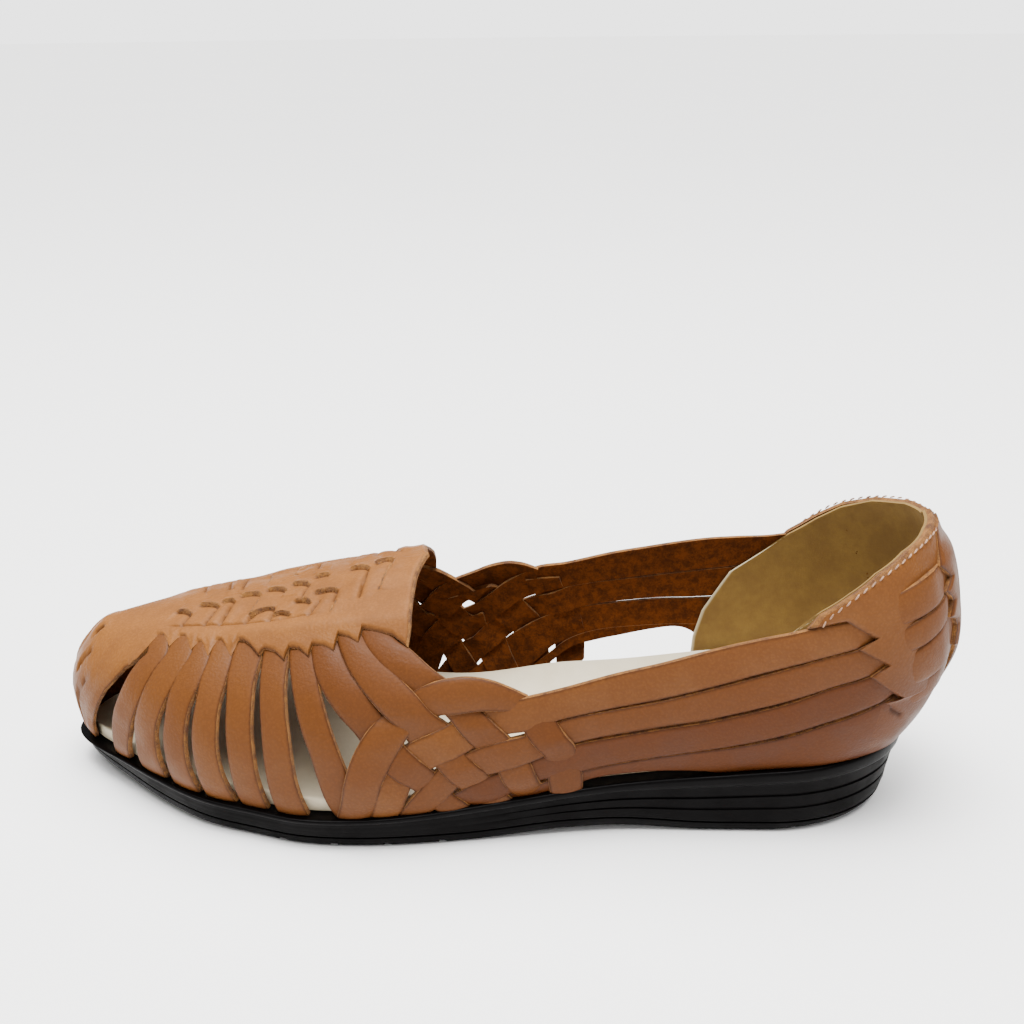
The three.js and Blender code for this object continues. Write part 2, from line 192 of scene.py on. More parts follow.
# point of the last: turn goes from 0 at the heel to 1 at the toe, negative on the inner side; x follows the
# cosine of the turn, and the half section is narrowed by the quarter circles of both ends
def surface(turn, share, ending=None):
    back, front = ending if ending is not None else ends(share)
    x = back + (front - back) * (1 - np.cos(np.pi * turn)) / 2
    side = np.where(turn < 0, -1.0, 1.0)
    y, z = profile(side, x, share)
    taper = roundEnd(x - back, last["heelRound"]) * roundEnd(front - x, last["toeRound"])
    return np.stack([x, centreAt(x) + side * y * taper, z], -1)


# the reverse: turn at which a side reaches station x
def turnAt(side, x, share):
    back, front = ends(share)
    ratio = np.clip((x - back) / (front - back), 0, 1)
    return side * np.arccos(1 - 2 * ratio) / np.pi


# outward direction by differences along both parameters, averaged over the seams
def outward(turn, share):
    step = 0.004
    sign = np.where(turn < 0, -1.0, 1.0)
    near = np.clip(np.abs(turn), 0.006, 0.985) * sign
    level = np.clip(share, step, 0.97)
    middle, lower, upper = ends(level), ends(level - step), ends(level + step)

    def one(t):
        du = surface(t + step, level, middle) - surface(t - step, level, middle)
        dv = surface(t, level + step, upper) - surface(t, level - step, lower)
        n = np.cross(dv, du)
        return n / np.linalg.norm(n, axis=-1, keepdims=True)

    n = one(near)
    seam = (share > 0.97) | (np.abs(turn) > 0.985) | (np.abs(turn) < 0.006)
    if np.any(seam):
        atEnds = smooth(0.985, 1.0, np.abs(turn)) + fade(0.0, 0.006, np.abs(turn))
        across = np.clip(smooth(0.97, 1.0, share) + atEnds, 0, 1)
        n = n + one(-near) * across[..., None]
        n = n / np.linalg.norm(n, axis=-1, keepdims=True)
    return n


# point at a distance off the last; side +1 or -1 says where share counts from
def skin(turn, share, offset):
    turn, share = unfold(turn, share)
    return surface(turn, share) + outward(turn, share) * np.asarray(offset)[..., None]


# how much higher the inner side's straps stand over the arch
def liftAt(x):
    share = np.asarray(x) / last["length"]
    return last["archLift"] * smooth(0.06, 0.36, share) * fade(0.44, 0.55, share)


# mesh batches: many closed solids gathered into one piece


def newBatch():
    return {"points": [], "faces": [], "mats": [], "edge": [], "tone": [], "mark": [], "uv": [], "count": 0}


# a solid is points plus quads and closing faces; edge is mm to the nearest cut edge
def addSolid(batch, points, faces, mats, edge, tone=0.5, mark=None, uv=None):
    points = np.asarray(points, float).reshape(-1, 3)
    n = len(points)
    batch["points"].append(points)
    base = batch["count"]
    for part, mat in zip(faces, mats):
        part = np.asarray(part) + base
        batch["faces"].extend(part.tolist())
        batch["mats"].extend([mat] * len(part) if np.isscalar(mat) else list(mat))
    batch["edge"].append(np.broadcast_to(np.asarray(edge, float).reshape(-1), (n,)))
    batch["tone"].append(np.broadcast_to(np.asarray(tone, float).reshape(-1), (n,)))
    batch["mark"].append(np.zeros(n) if mark is None else np.asarray(mark, float).reshape(-1))
    batch["uv"].append(np.zeros((n, 2)) if uv is None else np.asarray(uv, float).reshape(-1, 2))
    batch["count"] += n


# volume by the sum of tetrahedra, to turn an inside-out solid round
def signedVolume(points, faces):
    total = 0.0
    for part in faces:
        part = np.asarray(part)
        a = points[part[:, 0]]
        for k in range(1, part.shape[1] - 1):
            total += np.einsum("ij,ij->i", a, np.cross(points[part[:, k]], points[part[:, k + 1]])).sum()
    return total


def outwardFaces(points, faces):
    points = np.asarray(points, float).reshape(-1, 3)
    if signedVolume(points, faces) < 0:
        return [np.asarray(part)[:, ::-1] for part in faces]
    return faces


# a row of closed rings as quads, and a face over each end
def tubeFaces(rings, size):
    i, j = np.meshgrid(np.arange(rings - 1), np.arange(size), indexing="ij")
    k = (j + 1) % size
    quads = np.stack([i * size + j, i * size + k, (i + 1) * size + k, (i + 1) * size + j], -1).reshape(-1, 4)
    return [quads, np.stack([np.arange(size)[::-1], np.arange(size) + (rings - 1) * size])]


# a batch becomes one piece in metres, its numbers kept as attributes for the materials
def finishBatch(batch, name, materials, replaced=None, angle=38, weld=0.0):
    points = np.concatenate(batch["points"])
    metres = (points - [last["heelCentre"], 0, 0]) * 0.001
    mesh = bpy.data.meshes.new(name)
    mesh.from_pydata(metres.tolist(), [], batch["faces"])
    mesh.polygons.foreach_set("material_index", np.array(batch["mats"], np.int32))
    for key in ("edge", "tone", "mark"):
        layer = mesh.attributes.new(key, "FLOAT", "POINT")
        layer.data.foreach_set("value", np.concatenate(batch[key]).astype(np.float32))
    uvLayer = mesh.uv_layers.new(name="along")
    corner = np.empty(len(mesh.loops), np.int32)
    mesh.loops.foreach_get("vertex_index", corner)
    uvLayer.data.foreach_set("uv", np.concatenate(batch["uv"])[corner].astype(np.float32).ravel())
    if weld > 0:
        shape = bmesh.new()
        shape.from_mesh(mesh)
        bmesh.ops.remove_doubles(shape, verts=shape.verts, dist=weld)
        bmesh.ops.dissolve_degenerate(shape, edges=shape.edges, dist=1e-7)
        shape.to_mesh(mesh)
        shape.free()
    mesh.shade_smooth()
    mesh.set_sharp_from_angle(angle=math.radians(angle))
    for material in materials:
        mesh.materials.append(material)
    piece = bpy.data.objects.new(name, mesh)
    bpy.context.collection.objects.link(piece)
    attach(piece, "root")
    if replaced:
        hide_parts(replaced)
    print(name, len(mesh.vertices), "points")
    return piece


# faces of a wall between an outer and an inner grid of one shape: both grids, then the rim round them;
# a last row that folds shut needs no rim
def wallFaces(rows, cols, shut=False):
    i, j = np.meshgrid(np.arange(rows - 1), np.arange(cols - 1), indexing="ij")
    a = (i * cols + j).ravel()
    outer = np.stack([a, a + 1, a + cols + 1, a + cols], -1)
    n = rows * cols
    inner = outer[:, ::-1] + n

    def rim(line):
        return np.stack([line[:-1], line[:-1] + n, line[1:] + n, line[1:]], -1)

    first = rim(np.arange(cols))
    lastRow = rim(((rows - 1) * cols + np.arange(cols))[::-1])
    left = rim((np.arange(rows) * cols)[::-1])
    right = rim(np.arange(rows) * cols + cols - 1)
    rims = [first, left, right] if shut else [first, lastRow, left, right]
    return [outer, inner, np.concatenate(rims)]


# points and faces of a wall between two heights over the last; shut folds the last row onto itself
def wallOver(turn, share, outer, inner, shut=False):
    grids = np.stack([skin(turn, share, outer), skin(turn, share, inner)])
    if shut:
        grids[:, -1] = (grids[:, -1] + grids[:, -1, ::-1]) / 2
    points = grids.reshape(-1, 3)
    return points, outwardFaces(points, wallFaces(*turn.shape, shut))


# a leather wall as one piece: grain outside, flesh inside, cut edge round the rim and where raw is true
def leatherWall(name, turn, share, outer, inner, tone, edge, mark, raw, shut=False, angle=45, weld=0.00001):
    points, faces = wallOver(turn, share, outer, inner, shut)
    edge, tone, mark, raw = (np.broadcast_to(v, turn.shape).ravel() for v in (edge, tone, mark, raw))
    blank = np.zeros(turn.size)
    grain = np.where(raw[faces[0]].mean(1) > 0.5, 1, 0)
    batch = newBatch()
    addSolid(batch, points, faces, [grain, 2, 1], np.concatenate([edge, blank]), np.tile(tone, 2),
             np.concatenate([mark, blank]))
    finishBatch(batch, name, strapMaterials, "upper", angle=angle, weld=weld)


# straps: a ruled band between two edges, rounded over, with a cut face on each side

leatherStock = {"thick": 1.6, "round": 0.55, "crown": 0.36, "over": 1.95, "step": 1.0}


# heights stand higher on the inner side of the arch, but not where a strap meets the sole
def bandShare(side, x, value):
    x, value = np.asarray(x, float), np.asarray(value, float)
    weight = 1 - fade(13, 24, value) * smooth(92, 106, x)
    height = value + (liftAt(x) * weight if side < 0 else 0)
    return np.where(value > 2, shareAt(side, x, np.where(value > 2, height, 40)), value)


# rows are [x, level, x, level, lift] for both edges; a level over 2 is a height, else a share
def bandCurves(rows, side, step):
    rows = np.asarray(rows, float)
    shareA = bandShare(side, rows[:, 0], rows[:, 1])
    shareB = bandShare(side, rows[:, 2], rows[:, 3])
    edgeA = skin(turnAt(side, rows[:, 0], shareA), shareA, 0 * shareA)
    edgeB = skin(turnAt(side, rows[:, 2], shareB), shareB, 0 * shareB)
    middle = (edgeA + edgeB) / 2
    gone = lengthAlong(middle)
    count = max(int(gone[-1] / step) + 1, 6)
    place = np.linspace(0, gone[-1], count)
    columns = [along(gone, v, place) for v in (rows[:, 0], shareA, rows[:, 2], shareB)]
    lift = np.interp(place, gone, rows[:, 4])
    reach = max(int(1.2 / step), 1)
    padded = np.pad(lift, reach, mode="edge")
    lift = np.convolve(padded, np.ones(2 * reach + 1) / (2 * reach + 1), mode="valid")
    return columns, lift, place


# cross-section ring: straight cut sides, rounded top corners, a slight crown, a flat underside
def strap(batch, side, rows, thick=None, crown=None, tone=0.5, wider=0.0):
    thick = thick or leatherStock["thick"]
    crown = leatherStock["crown"] if crown is None else crown
    r = leatherStock["round"]
    (xa, ta, xb, tb), level, place = bandCurves(rows, side, leatherStock["step"])
    a = skin(turnAt(side, xa, ta), ta, 0 * ta)
    b = skin(turnAt(side, xb, tb), tb, 0 * tb)
    width = np.linalg.norm(a - b, axis=1)[:, None]
    more = wider / np.maximum(width, 3)
    part = np.array([0, 0, 0, 0, 0.16, 0.38, 0.62, 0.84, 1, 1, 1, 1, 0.75, 0.5, 0.25])
    shift = np.array([0, 0, 0.3 * r, r, 0, 0, 0, 0, -r, -0.3 * r, 0, 0, 0, 0, 0])
    high = np.array([0, thick - r, thick - 0.3 * r, thick, thick, thick, thick, thick, thick,
                     thick - 0.3 * r, thick - r, 0, 0, 0, 0])
    top = (np.arange(15) >= 1) & (np.arange(15) <= 10)
    share = np.clip(part + shift / np.maximum(width, 1.2), 0, 1)
    bulge = crown * (1 - (2 * share - 1) ** 2)
    offset = 0.1 + level[:, None] * leatherStock["over"] + high + bulge * np.where(top, 1, 0.6)
    spread = share * (1 + 2 * more) - more
    x = xa[:, None] + (xb - xa)[:, None] * spread
    t = np.maximum(ta[:, None] + (tb - ta)[:, None] * spread, 0)
    points = skin(turnAt(side, x, t), t, offset)
    rings, size = points.shape[:2]
    ringMat = np.array([1, 1, 0, 0, 0, 0, 0, 0, 0, 1, 1, 2, 2, 2, 2])
    edge = np.where(top & (np.arange(15) > 1) & (np.arange(15) < 10), np.minimum(share, 1 - share) * width, 0)
    uv = np.stack([np.broadcast_to(place[:, None], share.shape), share * width], -1)
    mats = [np.tile(ringMat, rings - 1), 1]
    addSolid(batch, points, outwardFaces(points, tubeFaces(rings, size)), mats, edge, tone, None, uv)


# one piece of straps on both sides; rows that differ between the sides are a dictionary of the two
def strapPiece(name, straps, **shared):
    batch = newBatch()
    for side in (1, -1):
        for own in straps:
            settings = {**shared, **own}
            rows = settings.pop("rows")
            strap(batch, side, rows[side] if isinstance(rows, dict) else rows, **settings)
    finishBatch(batch, name, strapMaterials, "upper")


# materials


def tint(red, green, blue):
    share = np.array([red, green, blue]) / 255
    linear = np.where(share > 0.04045, ((share + 0.055) / 1.055) ** 2.4, share / 12.92)
    return (*linear.tolist(), 1.0)


# a socket takes a link from another socket, or a plain value
def feed(tree, socket, value):
    if isinstance(value, bpy.types.NodeSocket):
        tree.links.new(value, socket)
    else:
        socket.default_value = value


def node(tree, kind, inputs=None, **settings):
    made = tree.nodes.new(kind)
    for key, value in settings.items():
        setattr(made, key, value)
    for key, value in (inputs or {}).items():
        feed(tree, made.inputs[key], value)
    return made


def attribute(tree, name):
    return node(tree, "ShaderNodeAttribute", attribute_name=name).outputs["Fac"]


# every group takes a Vector and some numbers with their plain values, and puts out numbers
def newGroup(name, numbers, results):
    tree = bpy.data.node_groups.new(name, "ShaderNodeTree")
    tree.interface.new_socket("Vector", in_out="INPUT", socket_type="NodeSocketVector")
    for label, value in numbers.items():
        tree.interface.new_socket(label, in_out="INPUT", socket_type="NodeSocketFloat").default_value = value
    for label in results:
        tree.interface.new_socket(label, in_out="OUTPUT", socket_type="NodeSocketFloat")
    return tree, tree.nodes.new("NodeGroupInput"), tree.nodes.new("NodeGroupOutput")


def maths(tree, operation, first, second=0.0):
    made = node(tree, "ShaderNodeMath", {0: first, 1: second}, operation=operation)
    return made.outputs[0]


def ramp(tree, value, low, high, toLow=0.0, toHigh=1.0):
    made = node(tree, "ShaderNodeMapRange", {"Value": value, "From Min": low, "From Max": high,
                "To Min": toLow, "To Max": toHigh}, interpolation_type="SMOOTHSTEP")
    return made.outputs["Result"]


def mixColour(tree, factor, first, second):
    made = node(tree, "ShaderNodeMix", {"Factor": factor}, data_type="RGBA")
    feed(tree, made.inputs[6], first)
    feed(tree, made.inputs[7], second)
    return made.outputs[2]


def noise(tree, place, scale, detail, rough=0.5, bend=0.0):
    inputs = {"Vector": place, "Scale": scale, "Detail": detail, "Roughness": rough, "Distortion": bend}
    return node(tree, "ShaderNodeTexNoise", inputs)


# a colour moved towards another where a mask is high, by a share of the mask
def tinted(tree, mask, share, first, second):
    return mixColour(tree, maths(tree, "MULTIPLY", mask, share), first, second)


# pebble cells and fine noise for the hide's grain, slow noise for its mottle
def makeGrain():
    sizes = {"Cell Size": 1500.0, "Mottle Size": 60.0}
    tree, ins, outs = newGroup("hide grain", sizes, ["Height", "Mottle", "Pores"])
    vector = ins.outputs["Vector"]
    warp = noise(tree, vector, 420.0, 2.0)
    bent = node(tree, "ShaderNodeVectorMath", {0: warp.outputs["Color"], 1: (0.0007, 0.0007, 0.0007)},
                operation="MULTIPLY")
    moved = node(tree, "ShaderNodeVectorMath", {0: vector, 1: bent.outputs[0]}, operation="ADD")
    scales = {"Vector": moved.outputs[0], "Scale": ins.outputs["Cell Size"]}
    cells = node(tree, "ShaderNodeTexVoronoi", scales, feature="SMOOTH_F1")
    fine = noise(tree, vector, 2600.0, 3.0)
    height = maths(tree, "ADD", maths(tree, "MULTIPLY", cells.outputs["Distance"], 0.7),
                   maths(tree, "MULTIPLY", fine.outputs["Fac"], 0.5))
    mottle = noise(tree, vector, ins.outputs["Mottle Size"], 5.0, 0.6)
    tree.links.new(height, outs.inputs["Height"])
    tree.links.new(ramp(tree, mottle.outputs["Fac"], 0.32, 0.68), outs.inputs["Mottle"])
    tree.links.new(ramp(tree, cells.outputs["Distance"], 0.15, 0.55), outs.inputs["Pores"])
    return tree


# mask that is 1 on a cut edge and fades over Reach mm, its border uneven; the leather darkens by it as edge
# wear and as painted shade along the edges
def makeEdgeWearAndShade():
    tree, ins, outs = newGroup("edge wear and shade", {"Reach": 0.8, "Unevenness": 0.6}, ["Mask"])
    edge = attribute(tree, "edge")
    uneven = maths(tree, "SUBTRACT", noise(tree, ins.outputs["Vector"], 900.0, 3.0).outputs["Fac"], 0.5)
    wobble = maths(tree, "MULTIPLY", uneven, ins.outputs["Unevenness"])
    near = maths(tree, "DIVIDE", maths(tree, "ADD", edge, wobble), ins.outputs["Reach"])
    tree.links.new(ramp(tree, near, 0.0, 1.0, 1.0, 0.0), outs.inputs["Mask"])
    return tree


# short fibres standing in all directions, for cut edges and flesh sides
def makeNap():
    tree, ins, outs = newGroup("nap", {"Fibre Size": 1800.0}, ["Height", "Shade"])
    vector = ins.outputs["Vector"]
    fibres = noise(tree, vector, ins.outputs["Fibre Size"], 6.0, 0.75, 0.6)
    clumps = noise(tree, vector, 330.0, 4.0, 0.6)
    tree.links.new(fibres.outputs["Fac"], outs.inputs["Height"])
    both = maths(tree, "ADD", maths(tree, "MULTIPLY", fibres.outputs["Fac"], 0.5),
                 maths(tree, "MULTIPLY", clumps.outputs["Fac"], 0.5))
    tree.links.new(ramp(tree, both, 0.38, 0.62), outs.inputs["Shade"])
    return tree


grainGroup, edgeGroup, napGroup = makeGrain(), makeEdgeWearAndShade(), makeNap()


def useGroup(tree, group, inputs):
    return node(tree, "ShaderNodeGroup", inputs, node_tree=group).outputs


def useGrain(tree, place, look):
    scales = {"Cell Size": look["cells"], "Mottle Size": look["mottleSize"]}
    return useGroup(tree, grainGroup, {"Vector": place, **scales})


def useNap(tree, place, look):
    return useGroup(tree, napGroup, {"Vector": place, "Fibre Size": look["fibre"]})


def newMaterial(name, plain):
    material = bpy.data.materials.new(name)
    material.use_nodes = True
    material.diffuse_color = plain
    tree = material.node_tree
    shader = tree.nodes["Principled BSDF"]
    place = node(tree, "ShaderNodeTexCoord").outputs["Object"]
    return material, tree, shader, place


def bump(tree, shader, height, strength, distance):
    made = node(tree, "ShaderNodeBump", {"Height": height, "Strength": strength, "Distance": distance})
    tree.links.new(made.outputs["Normal"], shader.inputs["Normal"])


# what every finish shares: its colour, specular level, plain roughness and bump, whose depth is in metres
def surfaceOf(tree, shader, look, colour, height):
    tree.links.new(colour, shader.inputs["Base Color"])
    shader.inputs["Specular IOR Level"].default_value = look["specular"]
    if "rough" in look:
        shader.inputs["Roughness"].default_value = look["rough"]
    bump(tree, shader, height, look["bump"], look["depth"])


# mottled, pored, worn and marked are shares of their masks: worn darkens cut edges as wear and painted shade,
# marked darkens slits, creases, toe cuts and grooves as painted shade; cells and the like are the groups'
# scales
grainLeather = {
    "golden": tint(130, 83, 39), "rosy": tint(60, 25, 4), "mottle": tint(84, 45, 16),
    "burntAndShade": tint(40, 18, 6), "mottled": 0.34, "pored": 0.14, "worn": 0.65, "marked": 0.9,
    "roughness": (0.42, 0.58), "specular": 0.12, "bump": 0.32, "depth": 0.00035,
    "cells": 1350.0, "mottleSize": 70.0, "reach": 0.95, "uneven": 0.7,
}


def makeLeather():
    look = grainLeather
    material, tree, shader, place = newMaterial("tan leather", look["golden"])
    grain = useGrain(tree, place, look)
    wear = useGroup(tree, edgeGroup, {"Vector": place, "Reach": look["reach"], "Unevenness": look["uneven"]})
    base = mixColour(tree, attribute(tree, "tone"), look["golden"], look["rosy"])
    mottled = tinted(tree, grain["Mottle"], look["mottled"], base, look["mottle"])
    pored = tinted(tree, grain["Pores"], look["pored"], mottled, look["burntAndShade"])
    # darkening along cut edges: partly edge wear, partly painted shade round the straps
    edged = tinted(tree, wear["Mask"], look["worn"], pored, look["burntAndShade"])
    # the mark is painted shade in slits, creases, toe cuts and grooves
    final = tinted(tree, attribute(tree, "mark"), look["marked"], edged, look["burntAndShade"])
    tree.links.new(ramp(tree, grain["Mottle"], 0.0, 1.0, *look["roughness"]), shader.inputs["Roughness"])
    surfaceOf(tree, shader, look, final, grain["Height"])
    return material


# the finishes that are only fibres: two colours mixed by the nap
cutEdge = {"light": tint(136, 88, 32), "dark": tint(74, 40, 11), "fibre": 2400.0, "rough": 0.9,
           "specular": 0.5, "bump": 0.9, "depth": 0.0006}
fleshSide = {"light": tint(92, 46, 12), "dark": tint(58, 27, 6), "fibre": 1500.0, "rough": 0.9,
             "specular": 0.1, "bump": 0.6, "depth": 0.0004}
threadLook = {"light": tint(170, 132, 104), "dark": tint(120, 84, 60), "fibre": 3200.0, "rough": 0.6,
              "specular": 0.5, "bump": 0.5, "depth": 0.0002}


def makeNapped(name, look):
    material, tree, shader, place = newMaterial(name, look["light"])
    nap = useNap(tree, place, look)
    surfaceOf(tree, shader, look, mixColour(tree, nap["Shade"], look["dark"], look["light"]), nap["Height"])
    return material


liningCloth = {"light": tint(122, 94, 38), "dark": tint(98, 70, 24), "rim": tint(196, 184, 150),
               "mottled": 0.6, "flecked": 0.35, "cells": 2200.0, "mottleSize": 110.0, "fibre": 1300.0,
               "rough": 0.8, "specular": 0.5, "bump": 0.25, "depth": 0.0003}


def makeLiningCloth():
    look = liningCloth
    material, tree, shader, place = newMaterial("heel lining", look["light"])
    nap = useNap(tree, place, look)
    grain = useGrain(tree, place, look)
    shade = tinted(tree, grain["Mottle"], look["mottled"], look["light"], look["dark"])
    flecked = tinted(tree, nap["Shade"], look["flecked"], shade, look["dark"])
    rimmed = mixColour(tree, attribute(tree, "mark"), flecked, look["rim"])
    surfaceOf(tree, shader, look, rimmed, nap["Height"])
    return material


footbedSkin = {"light": tint(200, 188, 162), "dark": tint(176, 160, 130), "mottled": 0.5, "cells": 1700.0,
               "mottleSize": 42.0, "rough": 0.62, "specular": 0.5, "bump": 0.22, "depth": 0.0003}


def makeFootbedSkin():
    look = footbedSkin
    material, tree, shader, place = newMaterial("footbed leather", look["light"])
    grain = useGrain(tree, place, look)
    colour = tinted(tree, grain["Mottle"], look["mottled"], look["light"], look["dark"])
    surfaceOf(tree, shader, look, colour, grain["Height"])
    return material


soleRubber = {"dark": tint(3, 2, 2), "worn": tint(12, 8, 8), "cells": 900.0, "mottleSize": 90.0,
              "flecks": 620.0, "flecked": 0.55, "roughness": (0.46, 0.6), "gloss": 0.16, "specular": 0.05,
              "bump": 0.08, "depth": 0.0003}


# the lip carries mark 1 and is glossier than the wall
def makeRubber():
    look = soleRubber
    material, tree, shader, place = newMaterial("black rubber", look["dark"])
    grain = useGrain(tree, place, look)
    fleck = noise(tree, place, look["flecks"], 6.0, 0.7)
    worn = ramp(tree, fleck.outputs["Fac"], 0.56, 0.74, 0.0, look["flecked"])
    matt = ramp(tree, grain["Mottle"], 0.0, 1.0, *look["roughness"])
    gloss = maths(tree, "MULTIPLY", attribute(tree, "mark"), look["gloss"])
    tree.links.new(maths(tree, "SUBTRACT", matt, gloss), shader.inputs["Roughness"])
    surfaceOf(tree, shader, look, mixColour(tree, worn, look["dark"], look["worn"]), grain["Height"])
    return material


strapMaterials = [makeLeather(), makeNapped("cut edge", cutEdge), makeNapped("flesh side", fleshSide)]
heelCloth, footbedLeather, blackRubber = makeLiningCloth(), makeFootbedSkin(), makeRubber()
sewingThread = makeNapped("stitching thread", threadLook)
print("materials ready")

# side straps: front and rear edges as station and share, from border to sole

sideStraps = {
    "a": [[224.5, 0.72, 216.5, 0.72, 0], [221.7, 0.58, 214.6, 0.58, 0.25], [223.8, 0.53, 216.5, 0.515, 0.4],
          [226.5, 0.46, 219.1, 0.44, 0.4], [229.5, 0.36, 221.8, 0.345, 0.35], [231.7, 0.28, 224.2, 0.26, 0.3],
          [233.1, 0.20, 226.2, 0.17, 0.2], [234.2, 0.11, 227.8, 0.09, 0.1], [235.4, 0, 229, 0, 0]],
    "b": [[215.2, 0.72, 208, 0.72, 0], [215.0, 0.59, 206.6, 0.58, 0.2], [217.8, 0.50, 209.2, 0.48, 0.35],
          [220.4, 0.41, 211.8, 0.40, 0.4], [222.4, 0.32, 214.2, 0.32, 0.35], [223.6, 0.24, 215.8, 0.24, 0.3],
          [223.9, 0.15, 215.9, 0.14, 0.2], [224.2, 0.07, 215.3, 0.07, 0.1], [224.3, 0, 214.9, 0, 0]],
    "c": [[207.4, 0.72, 201.6, 0.72, 0], [207.2, 0.59, 200.8, 0.57, 0.2], [209.9, 0.49, 202.4, 0.46, 0.35],
          [211.8, 0.40, 204.5, 0.38, 0.4], [212.6, 0.31, 205.6, 0.31, 0.35], [213.3, 0.23, 206.1, 0.23, 0.3],
          [213.2, 0.15, 205.8, 0.15, 0.2], [212.9, 0.08, 204.8, 0.08, 0.1], [212.4, 0, 203.7, 0, 0]],
    "d": [[201.6, 0.72, 194.4, 0.72, 0], [201.2, 0.585, 193.8, 0.585, 0.2], [202.4, 0.49, 194.7, 0.475, 0.35],
          [203, 0.40, 195.9, 0.39, 0.4], [203.8, 0.31, 196.4, 0.31, 0.35], [203.9, 0.23, 196.4, 0.23, 0.3],
          [203.4, 0.15, 195.6, 0.15, 0.2], [202.7, 0.08, 194.2, 0.08, 0.1], [201.7, 0, 192.5, 0, 0]],
    "e": [[194.4, 0.72, 186, 0.72, 0], [194.2, 0.585, 185, 0.585, 0.2], [194.5, 0.50, 186, 0.49, 0.35],
          [194.1, 0.41, 186.1, 0.39, 0.4], [194, 0.32, 186, 0.30, 0.35], [193.6, 0.24, 185.4, 0.22, 0.3],
          [193, 0.16, 184.9, 0.15, 0.2], [192.2, 0.08, 183.9, 0.08, 0.1], [191, 0, 182.9, 0, 0]],
    "f": [[185.2, 0.72, 177.2, 0.72, 0], [184.6, 0.59, 176.7, 0.57, 0.25], [184.4, 0.50, 176.7, 0.48, 0.4],
          [183.9, 0.41, 176.1, 0.39, 0.4], [183.2, 0.32, 175.2, 0.31, 0.35], [182.7, 0.24, 174.5, 0.23, 0.3],
          [182.2, 0.16, 173.8, 0.15, 0.2], [181.4, 0.08, 172.7, 0.08, 0.1], [180.3, 0, 171.3, 0, 0]],
    "g": [[177.6, 0.72, 170, 0.72, 0], [176.8, 0.59, 169.4, 0.575, 0.25], [175.3, 0.49, 167.6, 0.49, 0.4],
          [173.8, 0.41, 165.8, 0.41, 0.4], [171.9, 0.325, 163.7, 0.33, 0.35], [169.5, 0.24, 161.2, 0.24, 0.3],
          [167.9, 0.15, 158.9, 0.15, 0.0], [166.2, 0.07, 157, 0.07, 0.0], [164, 0, 155.5, 0, 0]],
}

# rear side straps carry on through the braid; heights in mm there
braidStraps = {
    "h": [[171.5, 0.69, 165.2, 0.68, 0], [170, 0.605, 162.4, 0.585, 0.3], [167.8, 0.51, 159.2, 0.51, 0.45],
          [164.6, 0.44, 155.4, 0.455, 0.5], [160.6, 0.375, 151.8, 0.395, 0.35], [156, 0.31, 148.8, 0.345, 0],
          [152, 27.5, 146.6, 33.6, 0.1], [149.3, 25.5, 145.3, 32.0, 0.65], [145.8, 22.8, 141.7, 28.3, 1.0],
          [142.2, 20, 137.9, 24.4, 0.6], [139.4, 16, 135, 20.5, 0], [137.2, 13.4, 132.4, 16.5, 0.55],
          [135.4, 12.0, 129.9, 14.4, 0.8], [134.4, 11.3, 128.4, 12.6, 0.6]],
    "i": [[165, 0.69, 157.6, 0.69, 0], [163.2, 0.64, 155.8, 0.62, 0.3], [160.2, 0.56, 151.6, 0.555, 0.45],
          [156.6, 0.49, 146.6, 0.50, 0.7], [151.7, 0.42, 141.6, 0.44, 1.0], [147.2, 0.362, 137.8, 0.385, 0.9],
          [144.4, 0.328, 133.8, 0.345, 0.55], [140, 29.2, 130.2, 34, 0], [135.8, 26.2, 129.2, 29.2, 0.55],
          [133, 22.8, 126.2, 25.6, 1.0], [130.2, 19.5, 123.4, 22.6, 0.6], [127.6, 16.4, 121, 18.6, 0],
          [125, 13.6, 118.2, 15.4, 0.5], [123.6, 12.4, 116.4, 13.4, 0.75], [123, 11.6, 115.6, 12.3, 0.6]],
    "j": [[158, 0.70, 149.6, 0.70, 0], [156.4, 0.65, 148.2, 0.63, 0.3], [153.6, 0.59, 143.6, 0.585, 0.45],
          [149.4, 0.535, 138.4, 0.53, 0.6], [145.2, 0.485, 134.6, 0.495, 0.5], [141, 0.44, 131, 0.465, 0.1],
          [136, 42.4, 127.6, 43.4, 0], [132.3, 39.6, 124.5, 40.5, 0.5], [129, 35.5, 121.5, 37.3, 1.0],
          [125.6, 31.3, 118, 33.6, 0.6], [122, 27.2, 114.6, 29.2, 0], [119, 23.4, 111.8, 25.2, 0.55],
          [117.5, 20, 110.6, 22, 1.0], [116, 16.9, 109.4, 19.0, 0.6], [114, 14, 108, 15.6, 0]],
}

